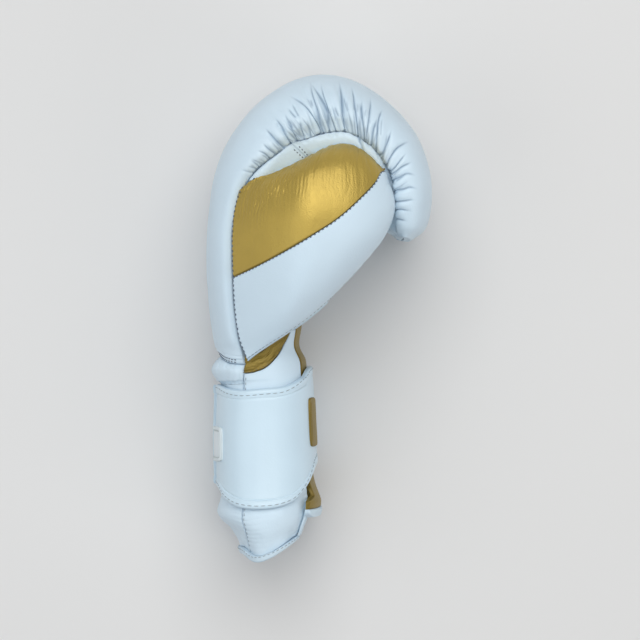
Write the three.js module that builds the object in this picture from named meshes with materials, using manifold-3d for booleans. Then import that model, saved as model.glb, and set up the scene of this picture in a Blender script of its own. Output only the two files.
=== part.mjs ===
// Left boxing glove lying on its little-finger side, thumb on top.
// Millimetres. X runs from the back of the hand to the palm, Y from the wrist to the
// knuckles and Z up from the surface it lies on. The origin is under the middle of its box.
import * as THREE from 'three';
import { mergeVertices } from 'three/addons/utils/BufferGeometryUtils.js';
import Module from 'manifold-3d';

// Overall sizes
const gloveLength = 303;        // cuff mouth to knuckles
const fistReach = 140;          // back of the hand to the front of the curled fingers
const fistWidth = 126;          // little-finger side to index side of the fist pad
const wristWidth = 98;          // little-finger side to thumb side of the cuff
const knuckleDepth = 76;        // fist pad to finger panel across the knuckles
const wristDepth = 58;          // back to palm side of the cuff
const thumbTop = 154;           // height of the thumb's crown above the surface

// Walls
const padWall = 34;             // foam and leather over the knuckles
const sideWall = 9;             // padding at the sides of the fist
const palmWall = 4;             // palm and finger panels
const cuffWall = 5;             // padded wall of the cuff
const thumbWall = 11;           // padding over the thumb
const thumbUnderWall = 4;       // panel on the palm side of the thumb
const strapThickness = 3;
const trimThickness = 1.2;      // label, patch and edge bindings
const seamGap = 0.3;            // clearance between sewn neighbours
const fitGap = 0.6;             // clearance of a curved piece that lies on another
const envelopeLift = 1.5;      // clearance of the thumb to the pleated fist below it

// Shape of the surfaces
const roundness = 0.77;         // power of the sections: 1 is an ellipse, less is squarer
const seamDip = 5;              // how deep the padding is drawn in at the fist seam
const seamDipSpread = 7;        // degrees
const wristDipShare = 0.45;     // share of that depth where the thumb is sewn to the pad
const farDipShare = 0.5;        // and at the seam on the little-finger side
const wristSeamDip = 2.6;       // how deep the pad is drawn in at the seam to the wrist roll
const wristSeamSpread = 0.3;    // rows
const indexDrop = 20;           // how far the index side lies below the pad's crown
const dropSpan = 24;            // how far past the seam it takes to reach that depth
const pleatDepth = 2.2;
const flapFlare = 5;            // how far the palm flap's free end stands off the cuff
const flapTabWall = 2.4;        // thickness of that free end
const leftFall = 1.35;          // how the thumb meets the pad: 2 is round, 1 is a flat slope
const thumbInsetShare = 0.94;   // how much shorter the thumb compartment is than the thumb
const thumbSideWall = 5;        // padding at the thumb's two sides

// Places along the glove, as rows of the hand table counted from the cuff mouth
const padBottomRow = 10.2;      // where the rows of the fist panels start
const padBottomFade = 1.6;      // rows over which they follow the slanting wrist seam
const rollLowerRow = 7.45;
const mouthBindingRows = 0.34;
const edgeBindingTop = 4.65;
const flapEndRow = 4.2;         // lower end of the palm flap
const flapBindingRows = 0.5;
const flareRow = 5.4;           // where the palm flap leaves the cuff below the strap
const tabRow = 4.8;             // where its free end is wider
const palmStartStop = 2;        // stops of the fist's rows where its other panels start
const thumbWebStop = 8;
const fingerFoldStop = 16;

// Angles round a section, in degrees: 0 palm, 90 thumb side, 180 back, 270 little finger
const fullTurn = 360;
const palmEdge = 32;
const palmFarEdge = -50;
const indexPanelEdge = 33.5;    // palm-side edge of the index side panel
const edgeBindingWidth = 8;
const flapEdge = 29;
const flapTabWidth = 16;        // how much further the flap's free end reaches
const farFade = 25;             // over which the flare fades towards the far edge

const white = new THREE.MeshStandardMaterial({ color: 0xcfdfe9, roughness: 0.45, metalness: 0 });
const gold = new THREE.MeshStandardMaterial({ color: 0xb59a52, roughness: 0.38, metalness: 0.35 });
const innerWhite = new THREE.MeshStandardMaterial({ color: 0xc4d2da, roughness: 0.5, metalness: 0 });
const plainLabel = new THREE.MeshStandardMaterial({ color: 0xf2f2ee, roughness: 0.6, metalness: 0 });

// Rows from the cuff mouth to the fingertips. x and y place the back line, as shares of
// fistReach and gloveLength. lean is the direction from there to the palm line in degrees,
// depth the distance as a share of wristDepth or knuckleDepth. low and high are heights as
// shares of wristWidth or fistWidth, wall the back padding as a share of cuffWall or
// padWall, and seam the angle of the pad's edge on the index side.
const wristRows = [
  { x: -0.335, y: -0.51, lean: 19, depth: 0.62, low: 0.06, high: 0.96, wall: 1.0, seam: 101 },
  { x: -0.364, y: -0.466, lean: 8, depth: 0.69, low: 0.05, high: 0.98, wall: 1.0, seam: 101 },
  { x: -0.402, y: -0.432, lean: 3, depth: 0.825, low: 0.03, high: 1.01, wall: 1.3, seam: 101 },
  { x: -0.461, y: -0.4, lean: 1.5, depth: 1.03, low: 0.01, high: 1.02, wall: 1.6, seam: 101 },
  { x: -0.442, y: -0.351, lean: 1.2, depth: 1.0, low: 0.0, high: 1.0, wall: 1.2, seam: 101 },
  { x: -0.446, y: -0.247, lean: 1.2, depth: 0.975, low: 0.0, high: 0.99, wall: 1.2, seam: 101 },
  { x: -0.442, y: -0.144, lean: 2.6, depth: 0.94, low: 0.0, high: 1.0, wall: 1.2, seam: 101 },
  { x: -0.469, y: -0.124, lean: 3.7, depth: 0.995, low: 0.0, high: 1.01, wall: 2.2, seam: 101 },
  { x: -0.491, y: -0.103, lean: 5.9, depth: 1.04, low: -0.01, high: 1.02, wall: 3.0, seam: 101 },
  { x: -0.466, y: -0.07, lean: 6.1, depth: 0.91, low: 0.02, high: 1.03, wall: 2.2, seam: 105 },
];
const fistRows = [
  { x: -0.478, y: -0.037, lean: 8.3, depth: 0.74, low: -0.01, high: 0.85, wall: 0.45, seam: 111 },
  { x: -0.5, y: 0.041, lean: 3, depth: 0.774, low: -0.024, high: 0.9, wall: 0.6, seam: 112.5 },
  { x: -0.509, y: 0.134, lean: -4, depth: 0.816, low: -0.024, high: 0.94, wall: 0.66, seam: 113.5 },
  { x: -0.5, y: 0.216, lean: -11, depth: 0.863, low: -0.024, high: 0.965, wall: 0.74, seam: 115 },
  { x: -0.47, y: 0.303, lean: -20.4, depth: 0.931, low: -0.024, high: 0.985, wall: 0.85, seam: 106 },
  { x: -0.397, y: 0.38, lean: -31.8, depth: 0.987, low: -0.024, high: 1.0, wall: 0.94, seam: 94.5 },
  { x: -0.266, y: 0.452, lean: -48, depth: 1.018, low: -0.024, high: 1.0, wall: 1.0, seam: 90 },
  { x: -0.089, y: 0.499, lean: -65.3, depth: 1.01, low: -0.024, high: 1.0, wall: 1.0, seam: 86.5 },
  { x: 0.087, y: 0.502, lean: -79.8, depth: 0.948, low: -0.024, high: 1.0, wall: 0.95, seam: 85.3 },
  { x: 0.274, y: 0.459, lean: -97.4, depth: 0.803, low: -0.024, high: 1.0, wall: 0.85, seam: 79.5 },
  { x: 0.415, y: 0.391, lean: -118.9, depth: 0.654, low: -0.02, high: 0.99, wall: 0.72, seam: 67 },
  { x: 0.482, y: 0.318, lean: -138.7, depth: 0.547, low: -0.01, high: 0.975, wall: 0.6, seam: 58 },
  { x: 0.5, y: 0.252, lean: -156.7, depth: 0.457, low: 0.02, high: 0.95, wall: 0.5, seam: 52 },
  { x: 0.473, y: 0.19, lean: -175.7, depth: 0.329, low: 0.08, high: 0.9, wall: 0.38, seam: 50 },
  { x: 0.402, y: 0.163, lean: -192, depth: 0.117, low: 0.14, high: 0.84, wall: 0.12, seam: 50 },
];

// Pleats drawn into the seams of the fist pad. row is where one starts, lean how many rows
// it drifts and reach how many degrees it runs over the pad; depth is a share of pleatDepth.
const pleats = [
  { row: 16.5, lean: -0.05, reach: 40, depth: 0.7, spread: 0.1 },
  { row: 16.85, lean: 0, reach: 48, depth: 0.8, spread: 0.09 },
  { row: 17.12, lean: -0.05, reach: 46, depth: 0.9, spread: 0.08 },
  { row: 17.38, lean: 0, reach: 42, depth: 0.8, spread: 0.08 },
  { row: 17.66, lean: -0.1, reach: 62, depth: 1.0, spread: 0.09 },
  { row: 17.95, lean: -0.05, reach: 76, depth: 1.0, spread: 0.09 },
  { row: 18.25, lean: 0, reach: 76, depth: 1.0, spread: 0.09 },
  { row: 18.55, lean: 0, reach: 70, depth: 0.8, spread: 0.1 },
  { row: 18.9, lean: 0, reach: 72, depth: 1.0, spread: 0.1 },
  { row: 19.4, lean: 0.02, reach: 66, depth: 0.9, spread: 0.12 },
  { row: 19.8, lean: 0.05, reach: 62, depth: 0.8, spread: 0.11 },
  { row: 20.3, lean: 0.1, reach: 60, depth: 0.9, spread: 0.13 },
  { row: 20.9, lean: 0.2, reach: 54, depth: 0.8, spread: 0.14 },
  { row: 21.4, lean: 0.25, reach: 50, depth: 0.7, spread: 0.14 },
  { row: 21.9, lean: 0.3, reach: 44, depth: 0.6, spread: 0.15 },
];

// Rows of the thumb from its hem to its tip. left and right ends are shares of fistReach
// and gloveLength, bow lifts the row's middle as a share of gloveLength, and the heights
// of the left end, crown, right end and underside are shares of thumbTop. web is how far
// across the underside reaches, counted from the left end.
const thumbEnds = [
  { lx: -0.321, ly: -0.085, rx: 0.031, ry: 0.037, bow: -0.006, web: 0.6 },
  { lx: -0.332, ly: -0.071, rx: 0.093, ry: 0.065, bow: -0.006, web: 0.53 },
  { lx: -0.358, ly: -0.037, rx: 0.176, ry: 0.105, bow: -0.003, web: 0.46 },
  { lx: -0.375, ly: 0.016, rx: 0.261, ry: 0.152, bow: 0, web: 0.4 },
  { lx: -0.383, ly: 0.071, rx: 0.308, ry: 0.19, bow: 0, web: 0.3 },
  { lx: -0.387, ly: 0.121, rx: 0.328, ry: 0.224, bow: 0.002, web: 0.16 },
  { lx: -0.387, ly: 0.17, rx: 0.323, ry: 0.25, bow: 0.008, web: 0.09 },
  { lx: -0.376, ly: 0.222, rx: 0.309, ry: 0.268, bow: 0.018, web: 0.1 },
  { lx: -0.349, ly: 0.262, rx: 0.296, ry: 0.285, bow: 0.031, web: 0.1 },
  { lx: -0.301, ly: 0.283, rx: 0.288, ry: 0.296, bow: 0.047, web: 0.1 },
  { lx: -0.236, ly: 0.293, rx: 0.277, ry: 0.303, bow: 0.059, web: 0.1 },
];
const thumbHeights = [
  { left: 0.662, crown: 0.72, right: 0.63, under: 0.58 },
  { left: 0.668, crown: 0.795, right: 0.67, under: 0.585 },
  { left: 0.694, crown: 0.875, right: 0.71, under: 0.6 },
  { left: 0.72, crown: 0.935, right: 0.745, under: 0.625 },
  { left: 0.745, crown: 0.97, right: 0.77, under: 0.66 },
  { left: 0.758, crown: 0.99, right: 0.785, under: 0.69 },
  { left: 0.771, crown: 1.0, right: 0.795, under: 0.71 },
  { left: 0.773, crown: 0.99, right: 0.8, under: 0.72 },
  { left: 0.779, crown: 0.965, right: 0.805, under: 0.735 },
  { left: 0.786, crown: 0.91, right: 0.815, under: 0.74 },
  { left: 0.8, crown: 0.83, right: 0.825, under: 0.785 },
];
const thumbRows = thumbEnds.map((ends, index) => ({ ...ends, ...thumbHeights[index] }));
const thumbLastRow = thumbRows.length - 1;
// Row of the gold panel's lower seam at even steps from the thumb's left to its right end.
const thumbSeam = [
  { row: 4.27 }, { row: 4.3 }, { row: 4.34 }, { row: 4.43 }, { row: 4.61 }, { row: 4.88 },
  { row: 5.31 }, { row: 6.07 }, { row: 7.15 }, { row: 8.8 }, { row: 9.6 },
];
const thumbHem = 0.32;          // rows of the thumb table that the hem binding takes

// Edges of the wrist strap as rows of the hand table, evenly round from the palm.
const strapEdges = [
  { lower: 5.52, upper: 8.55 },
  { lower: 5.42, upper: 8.35 },
  { lower: 5.07, upper: 7.4 },
  { lower: 4.6, upper: 7.06 },
  { lower: 4.36, upper: 7.0 },
  { lower: 4.45, upper: 6.98 },
  { lower: 4.72, upper: 7.05 },
  { lower: 5.02, upper: 7.2 },
  { lower: 5.08, upper: 7.2 },
  { lower: 5.1, upper: 7.15 },
  { lower: 5.1, upper: 7.1 },
  { lower: 5.1, upper: 7.1 },
  { lower: 5.15, upper: 7.15 },
  { lower: 5.25, upper: 7.4 },
  { lower: 5.4, upper: 7.9 },
  { lower: 5.5, upper: 8.4 },
  { lower: 5.52, upper: 8.55 },
];
// The strap starts on the back, runs round the glove and ends over its own start.
const strapStart = 228;
const strapEnd = -165;
const strapLapFrom = -114;
const strapLapTo = -131;
const strapLift = fitGap;

// Plates sewn on the strap, between two angles and two rows of the hand table.
const labelPlace = { fromAngle: 190, toAngle: 138, fromRow: 5.6, toRow: 6.25 };
const patchPlace = { fromAngle: 44, toAngle: 12, fromRow: 5.92, toRow: 6.85 };

// Lower edge of the gold gusset and upper edge of the cuff side, as rows by angle.
const gussetEdges = [
  { angle: 44, lower: 10.86, upper: 10.98 },
  { angle: 50, lower: 10.36, upper: 10.98 },
  { angle: 58, lower: 9.92, upper: 10.95 },
  { angle: 66, lower: 9.58, upper: 10.9 },
  { angle: 73, lower: 9.3, upper: 10.81 },
  { angle: 80, lower: 8.96, upper: 10.7 },
  { angle: 86, lower: 8.71, upper: 10.62 },
  { angle: 93, lower: 8.47, upper: 10.44 },
  { angle: 98, lower: 8.44, upper: 10.41 },
  { angle: 111, lower: 8.44, upper: 10.4 },
];

// Seam between the fist pad and the wrist roll, as rows by angle.
const padBottomEdge = [
  { angle: 95, row: 9.15 },
  { angle: 111, row: 9.25 },
  { angle: 120, row: 9.32 },
  { angle: 135, row: 9.49 },
  { angle: 150, row: 9.68 },
  { angle: 165, row: 9.85 },
  { angle: 180, row: 9.9 },
  { angle: 225, row: 9.75 },
  { angle: 270, row: 9.5 },
  { angle: 310, row: 9.4 },
];

// Edge of the cuff mouth, as rows by angle.
const mouthEdge = [
  { angle: 32, row: 1.95 },
  { angle: 40, row: 1.85 },
  { angle: 50, row: 1.68 },
  { angle: 60, row: 1.54 },
  { angle: 70, row: 1.39 },
  { angle: 80, row: 1.26 },
  { angle: 90, row: 1.13 },
  { angle: 100, row: 1.08 },
  { angle: 110, row: 1.1 },
  { angle: 120, row: 1.17 },
  { angle: 130, row: 1.31 },
  { angle: 140, row: 1.5 },
  { angle: 150, row: 1.6 },
  { angle: 180, row: 1.6 },
  { angle: 225, row: 1.4 },
  { angle: 270, row: 1.3 },
  { angle: 310, row: 1.7 },
];

// Seam up the back of the thumb side from the mouth to the pad, as angles by row.
const backSeam = [
  { row: 1, angle: 133 },
  { row: 2, angle: 131 },
  { row: 3, angle: 121 },
  { row: 4, angle: 112 },
  { row: 7, angle: 112 },
  { row: 8.45, angle: 103 },
  { row: 9.3, angle: 101 },
  { row: 12, angle: 101 },
];

function steps(from, to, count) {
  return Array.from({ length: count + 1 }, (_, index) => mix(from, to, index / count));
}

function mix(a, b, share) {
  return a + (b - a) * share;
}

function clamp(value, low, high) {
  return Math.min(high, Math.max(low, value));
}

// 0 below from, 1 beyond to and a smooth rise between them.
function rise(value, from, to) {
  const t = clamp((value - from) / (to - from), 0, 1);
  return t * t * (3 - 2 * t);
}

function foldedAngle(angle) {
  return ((angle % fullTurn) + fullTurn) % fullTurn;
}

// A smooth curve through one named column of a table, at a place counted in rows from 0.
function column(rows, name, place) {
  const last = rows.length - 1;
  const spot = clamp(place, 0, last);
  const index = Math.min(last - 1, Math.floor(spot));
  const f = spot - index;
  const here = rows[index][name];
  const next = rows[index + 1][name];
  const before = index > 0 ? rows[index - 1][name] : 2 * here - next;
  const beyond = index < last - 1 ? rows[index + 2][name] : 2 * next - here;
  const slopeHere = (next - before) / 2;
  const slopeNext = (beyond - here) / 2;
  const share = f * f * (3 - 2 * f);
  return mix(here, next, share) + f * (1 - f) * ((1 - f) * slopeHere - f * slopeNext);
}

// Straight interpolation in a table by another of its columns.
function lookUp(rows, key, name, value) {
  let index = 0;
  while (index < rows.length - 2 && rows[index + 1][key] < value) {
    index += 1;
  }
  const from = rows[index];
  const to = rows[index + 1];
  const share = clamp((value - from[key]) / (to[key] - from[key]), 0, 1);
  return mix(from[name], to[name], share);
}

// The two hand tables in millimetres, so that both blend into one another.
function inMillimetres(row, depthSize, widthSize, wallSize) {
  return {
    x: row.x * fistReach,
    y: row.y * gloveLength,
    lean: row.lean,
    depth: row.depth * depthSize,
    low: row.low * widthSize,
    high: row.high * widthSize,
    wall: row.wall * wallSize,
    seam: row.seam,
  };
}
const handRows = [
  ...wristRows.map((row) => inMillimetres(row, wristDepth, wristWidth, cuffWall)),
  ...fistRows.map((row) => inMillimetres(row, knuckleDepth, fistWidth, padWall)),
];
const handLastRow = handRows.length;
const wristLastRow = wristRows.length;

// Rows for the fist's panels, close together where the pleats are.
const fistStops = [
  ...steps(padBottomRow, 15.4, 12),
  ...steps(15.8, 22.6, 42),
  ...steps(23.1, handLastRow, 4),
];
const lastStop = fistStops.length - 1;
const palmStart = fistStops[palmStartStop];
const thumbWeb = fistStops[thumbWebStop];
const farEdge = palmFarEdge + fullTurn;

// Places along the glove where a shape comes in or fades out, as two rows each.
const wristToFist = [wristLastRow, wristLastRow + 2];
const webRise = [thumbWeb, thumbWeb + 1.5];
const dropIn = [thumbWeb, thumbWeb + 1.3];
const dropOut = [22.5, handLastRow];
const dipIn = [10, 11.2];
const dipOut = [23, 24.6];
const strapSeatIn = [4, 4.8];
const strapSeatOut = [7.6, 8.2];

// Section of the hand tube at a row, counted from 1 at the cuff mouth.
function sectionAt(row) {
  const section = {};
  for (const name of Object.keys(handRows[0])) {
    section[name] = column(handRows, name, row - 1);
  }
  const lean = THREE.MathUtils.degToRad(section.lean);
  section.toPalm = new THREE.Vector3(Math.cos(lean), Math.sin(lean), 0);
  section.side = mix(cuffWall, sideWall, rise(row, ...wristToFist));
  section.palm = mix(cuffWall, palmWall, rise(row, ...wristToFist));
  const underStrap = rise(row, ...strapSeatIn) * (1 - rise(row, ...strapSeatOut));
  section.floor = underStrap * (strapThickness + strapLift);
  section.drop = indexDrop * rise(row, ...dropIn) * (1 - rise(row, ...dropOut));
  return section;
}

function power(value) {
  return Math.sign(value) * Math.abs(value) ** roundness;
}

const dropLead = 0.1;           // share of the drop's span that lies before the seam
const frontAngle = 45;          // below which the drop fades towards the palm's middle

// A point of the tube in its section: reach from the back line towards the palm, and height.
function ovalPoint(section, angle, backInset, palmInset, sideInset) {
  const turn = THREE.MathUtils.degToRad(angle);
  const halfDepth = (section.depth - backInset - palmInset) / 2;
  const halfHeight = (section.high - section.low) / 2 - sideInset;
  const middle = (section.high + section.low) / 2;
  const reach = backInset + halfDepth * (1 + power(Math.cos(turn)));
  const folded = foldedAngle(angle);
  const seamTurn = THREE.MathUtils.degToRad(section.seam);
  const seamReach = (section.depth / 2) * (1 + power(Math.cos(seamTurn)));
  const past = rise(reach, seamReach - dropSpan * dropLead, seamReach + dropSpan * (1 - dropLead));
  const palmHalf = folded < fullTurn / 2 ? past * rise(folded, 0, frontAngle) : 0;
  const height = middle + halfHeight * power(Math.sin(turn)) - section.drop * palmHalf;
  return new THREE.Vector2(reach, height);
}

function placeInSection(section, flat) {
  return new THREE.Vector3(section.x, section.y, flat.y).addScaledVector(section.toPalm, flat.x);
}

function bell(offset, spread) {
  return Math.exp(-((offset / spread) ** 2));
}

function padBottomAt(angle) {
  return lookUp(padBottomEdge, 'angle', 'row', foldedAngle(angle));
}

const padFadeAngle = 3;         // degrees over which the wrist seam's dip ends past the pad

// How far the seams draw the surface in at a row and angle.
function seamDepth(section, row, angle) {
  const folded = foldedAngle(angle);
  const fist = rise(row, ...dipIn) * (1 - rise(row, ...dipOut));
  const near = bell(folded - section.seam, seamDipSpread) * mix(wristDipShare, 1, rise(row, ...webRise));
  const far = bell(folded - farEdge, seamDipSpread) * farDipShare;
  const fromSeam = folded - section.seam;
  const fromFar = folded - farEdge;
  const onPad = rise(fromSeam, -padFadeAngle, padFadeAngle) * (1 - rise(fromFar, 0, padFadeAngle));
  const wrist = bell(row - padBottomAt(angle), wristSeamSpread) * onPad;
  return seamDip * (near + far) * fist + wristSeamDip * wrist;
}

const pleatStart = 0.05;        // share of its reach that a pleat begins before the seam
const pleatIn = [-0.036, 0.084];
const pleatOut = [0.35, 1];

// How far the pleats draw the pad in.
function pleatDepthAt(section, row, angle) {
  const folded = foldedAngle(angle);
  let depth = 0;
  for (const pleat of pleats) {
    const fromNear = (folded - section.seam) / pleat.reach;
    const fromFar = (farEdge - folded) / pleat.reach;
    const along = Math.min(Math.abs(fromNear), Math.abs(fromFar));
    if (fromNear > -pleatStart && fromFar > -pleatStart && along < 1) {
      const fade = rise(along, ...pleatIn) * (1 - rise(along, ...pleatOut));
      depth += pleatDepth * pleat.depth * bell(row - pleat.row - pleat.lean * along, pleat.spread) * fade;
    }
  }
  return depth;
}

const slopeStep = 1.5;          // degrees each way that give the section's outward direction

// Outer surface of the hand tube, raised by lift along its section's outward direction.
function outerPoint(row, angle, lift = 0, pleated = true) {
  const section = sectionAt(row);
  const here = ovalPoint(section, angle, 0, 0, 0);
  const before = ovalPoint(section, angle - slopeStep, 0, 0, 0);
  const after = ovalPoint(section, angle + slopeStep, 0, 0, 0);
  const outward = new THREE.Vector2(after.y - before.y, before.x - after.x).normalize();
  const pleatsHere = pleated ? pleatDepthAt(section, row, angle) : 0;
  const push = lift - seamDepth(section, row, angle) - pleatsHere;
  const flat = here.addScaledVector(outward, push);
  const floor = section.floor > 0 ? section.floor - Math.max(0, lift) : 0;
  flat.y = Math.max(flat.y, Math.max(0, floor));
  return placeInSection(section, flat);
}

const cavityFloorShare = 0.9;   // lowest place of the hand compartment, as a share of the side wall

// Surface of the hand compartment.
function cavityPoint(row, angle) {
  const section = sectionAt(row);
  const flat = ovalPoint(section, angle, section.wall, section.palm, section.side);
  flat.y = Math.max(flat.y, section.side * cavityFloorShare);
  return placeInSection(section, flat);
}

const gapProbe = 0.25;          // rows each way that measure how long a row is

// The change of row or angle that opens half a gap.
function rowGap(row, gap) {
  const from = outerPoint(row - gapProbe, fullTurn / 2, 0, false);
  const to = outerPoint(row + gapProbe, fullTurn / 2, 0, false);
  return (gap / 2) * (2 * gapProbe / from.distanceTo(to));
}

function angleGap(gap) {
  return THREE.MathUtils.radToDeg(gap / wristDepth);
}

// Every so-many-th stop, with the last one always kept.
function coarser(stops, every) {
  return stops.filter((_, index) => index % every === 0 || index === stops.length - 1);
}

// Triangles between two chains of [place, vertex] that share their first and last place.
function stitch(triangles, first, second) {
  let i = 0;
  let j = 0;
  while (i < first.length - 1 || j < second.length - 1) {
    const useFirst = j === second.length - 1
      || (i < first.length - 1 && first[i + 1][0] <= second[j + 1][0] + Number.EPSILON * 8);
    if (useFirst) {
      triangles.push(first[i][1], first[i + 1][1], second[j][1]);
      i += 1;
    } else {
      triangles.push(first[i][1], second[j + 1][1], second[j][1]);
      j += 1;
    }
  }
}

// The border of a grid of vertices as a chain, with each side's places counted on by one.
function gridLoop(grid, uStops, vStops) {
  const lastU = uStops.length - 1;
  const lastV = vStops.length - 1;
  const loop = uStops.map((u, i) => [u, grid[i][0]]);
  for (let j = 1; j <= lastV; j += 1) {
    loop.push([1 + vStops[j], grid[lastU][j]]);
  }
  for (let i = lastU - 1; i >= 0; i -= 1) {
    loop.push([3 - uStops[i], grid[i][lastV]]);
  }
  for (let j = lastV - 1; j >= 0; j -= 1) {
    loop.push([4 - vStops[j], grid[0][j]]);
  }
  return loop;
}

function geometryFrom(points, triangles) {
  const geometry = new THREE.BufferGeometry();
  const places = points.flatMap((point) => point.toArray());
  geometry.setAttribute('position', new THREE.Float32BufferAttribute(places, 3));
  geometry.setIndex(triangles);
  return geometry;
}

// A closed wall between an outside and an inside surface over u and v from 0 to 1.
function wallGeometry(outside, inside, uStops, vStops, uEvery = 2, vEvery = 2) {
  const points = [];
  const triangles = [];
  const lay = (surface, us, vs, flip) => {
    const grid = us.map((u) => vs.map((v) => points.push(surface(u, v)) - 1));
    for (let i = 0; i < us.length - 1; i += 1) {
      for (let j = 0; j < vs.length - 1; j += 1) {
        const [a, c] = [grid[i][j], grid[i + 1][j + 1]];
        const sides = [grid[i + 1][j], grid[i][j + 1]];
        const [b, d] = flip ? sides.reverse() : sides;
        triangles.push(a, b, c, a, c, d);
      }
    }
    return grid;
  };
  const uInner = coarser(uStops, uEvery);
  const vInner = coarser(vStops, vEvery);
  const outerGrid = lay(outside, uStops, vStops, false);
  const innerGrid = lay(inside, uInner, vInner, true);
  stitch(triangles, gridLoop(innerGrid, uInner, vInner), gridLoop(outerGrid, uStops, vStops));
  let volume = 0;
  for (let i = 0; i < triangles.length; i += 3) {
    const [a, b, c] = [points[triangles[i]], points[triangles[i + 1]], points[triangles[i + 2]]];
    volume += a.dot(new THREE.Vector3().crossVectors(b, c));
  }
  if (volume < 0) {
    triangles.reverse();
  }
  return geometryFrom(points, triangles);
}

const glove = new THREE.Group();
glove.name = 'boxing_glove';

function addPiece(name, geometry, material) {
  const mesh = new THREE.Mesh(geometry, material);
  mesh.name = name;
  glove.add(mesh);
}

const padAngleStops = [
  0, 0.025, 0.055, 0.09, 0.13, 0.17, 0.215, 0.265, 0.32, 0.39, 0.47, 0.55, 0.63, 0.7, 0.76, 0.815,
  0.865, 0.91, 0.955, 1,
];

function shareStops(stops) {
  const first = stops[0];
  const last = stops[stops.length - 1];
  return stops.map((stop) => (stop - first) / (last - first));
}

const placingRounds = 4;        // rows and angles of slanting edges depend on one another

// A panel of the hand tube. rows gives its two ends at an angle, angles its two ends at a
// row, and both surfaces are functions of row and angle.
function tubePanel({
  rows, angles, rowStops, angleStops, rowEvery = 2, angleEvery = 2, outside = outerPoint,
  inside = cavityPoint, gap = seamGap,
}) {
  const place = (surface) => (u, v) => {
    let angle = fullTurn / 4;
    let row = 0;
    for (let round = 0; round < placingRounds; round += 1) {
      const [fromRow, toRow] = rows(angle);
      row = mix(fromRow + rowGap(fromRow, gap), toRow - rowGap(toRow, gap), v);
      const [fromAngle, toAngle] = angles(row);
      angle = mix(fromAngle + angleGap(gap), toAngle - angleGap(gap), u);
    }
    return surface(row, angle);
  };
  return wallGeometry(place(outside), place(inside), angleStops, rowStops, angleEvery, rowEvery);
}

// A panel of the fist between two of its stops.
function fistPanel(fromStop, toStop, angles, angleStops, rowEvery, follow = (row) => row) {
  const stops = fistStops.slice(fromStop, toStop + 1);
  const [first, last] = [stops[0], stops[stops.length - 1]];
  const onSeam = (surface) => (row, angle) => surface(follow(row, angle), angle);
  return tubePanel({
    rows: () => [first, last],
    angles,
    rowStops: shareStops(stops),
    angleStops,
    rowEvery,
    outside: onSeam(outerPoint),
    inside: onSeam(cavityPoint),
  });
}

// The pad's lowest rows follow its slanting seam to the wrist roll.
function followWristSeam(row, angle) {
  const shift = padBottomAt(angle) - padBottomRow;
  return row + shift * (1 - rise(row, padBottomRow, padBottomRow + padBottomFade));
}

function seamAngle(row) {
  return column(handRows, 'seam', row - 1);
}

function buildFistPad() {
  return fistPanel(0, lastStop, (row) => [seamAngle(row), farEdge], padAngleStops, 2, followWristSeam);
}

function buildIndexPanel() {
  const stops = [0, 0.26, 0.5, 0.68, 0.82, 0.92, 1];
  return fistPanel(thumbWebStop, lastStop, (row) => [indexPanelEdge, seamAngle(row)], stops, 4);
}

function buildPalmPanel() {
  return fistPanel(palmStartStop, fingerFoldStop, () => [palmFarEdge, palmEdge], steps(0, 1, 10), 2);
}

function buildFingerPanel() {
  return fistPanel(fingerFoldStop, lastStop, () => [palmFarEdge, palmEdge], steps(0, 1, 8), 4);
}

function backSeamAt(row) {
  return lookUp(backSeam, 'row', 'angle', row);
}

function mouthRow(angle) {
  return lookUp(mouthEdge, 'angle', 'row', foldedAngle(angle));
}

function cuffStart(angle) {
  return mouthRow(angle) + mouthBindingRows;
}

function buildWristRoll() {
  return tubePanel({
    rows: (angle) => [rollLowerRow, padBottomAt(angle)],
    angles: (row) => [backSeamAt(row), farEdge],
    rowStops: steps(0, 1, 8),
    angleStops: steps(0, 1, 18),
    gap: fitGap,
  });
}

function buildCuffBack() {
  return tubePanel({
    rows: (angle) => [cuffStart(angle), rollLowerRow],
    angles: (row) => [backSeamAt(row), farEdge],
    rowStops: steps(0, 1, 14),
    angleStops: steps(0, 1, 16),
    gap: fitGap,
  });
}

function gussetLower(angle) {
  return lookUp(gussetEdges, 'angle', 'lower', angle);
}

function buildCuffSide() {
  return tubePanel({
    rows: (angle) => [cuffStart(angle), gussetLower(angle)],
    angles: (row) => [palmEdge, backSeamAt(row) - angleGap(2 * fitGap)],
    rowStops: steps(0, 1, 20),
    angleStops: steps(0, 1, 12),
    gap: fitGap,
  });
}

const gussetGap = 4 * fitGap;   // the gusset's lower edge slants, so it takes a wider gap

function buildGoldGusset() {
  return tubePanel({
    rows: (angle) => [
      gussetLower(angle) + rowGap(wristLastRow, gussetGap),
      lookUp(gussetEdges, 'angle', 'upper', angle),
    ],
    angles: (row) => [gussetEdges[0].angle + angleGap(2 * fitGap), backSeamAt(row)],
    rowStops: steps(0, 1, 4),
    angleStops: steps(0, 1, 9),
    gap: fitGap,
  });
}

const tabFull = 4.45;           // row from which the flap's free end stands off by its full flare
const tabWallRows = 0.5;        // rows over which the flap's wall thins below the strap
const tabCornerRows = 0.2;

// How much of the flare and of the thin free end there is at a row and angle.
function tabShare(row, angle, fromRow) {
  const near = rise(angle, palmFarEdge + 2, palmFarEdge + 2 + farFade);
  return (1 - rise(row, fromRow, flareRow)) * near;
}

function flapOutside(row, angle, extra = 0) {
  return outerPoint(row, angle, flapFlare * tabShare(row, angle, tabFull) + extra);
}

function flapInside(row, angle) {
  const lift = flapFlare * tabShare(row, angle, tabFull);
  const thin = tabShare(row, angle, flareRow - tabWallRows);
  return cavityPoint(row, angle).lerp(outerPoint(row, angle, lift - flapTabWall), thin);
}

function flapAngles(row) {
  const farStart = palmFarEdge + angleGap(2 * fitGap);
  return [farStart, flapEdge + flapTabWidth * (1 - rise(row, tabRow - tabCornerRows, tabRow))];
}

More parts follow.
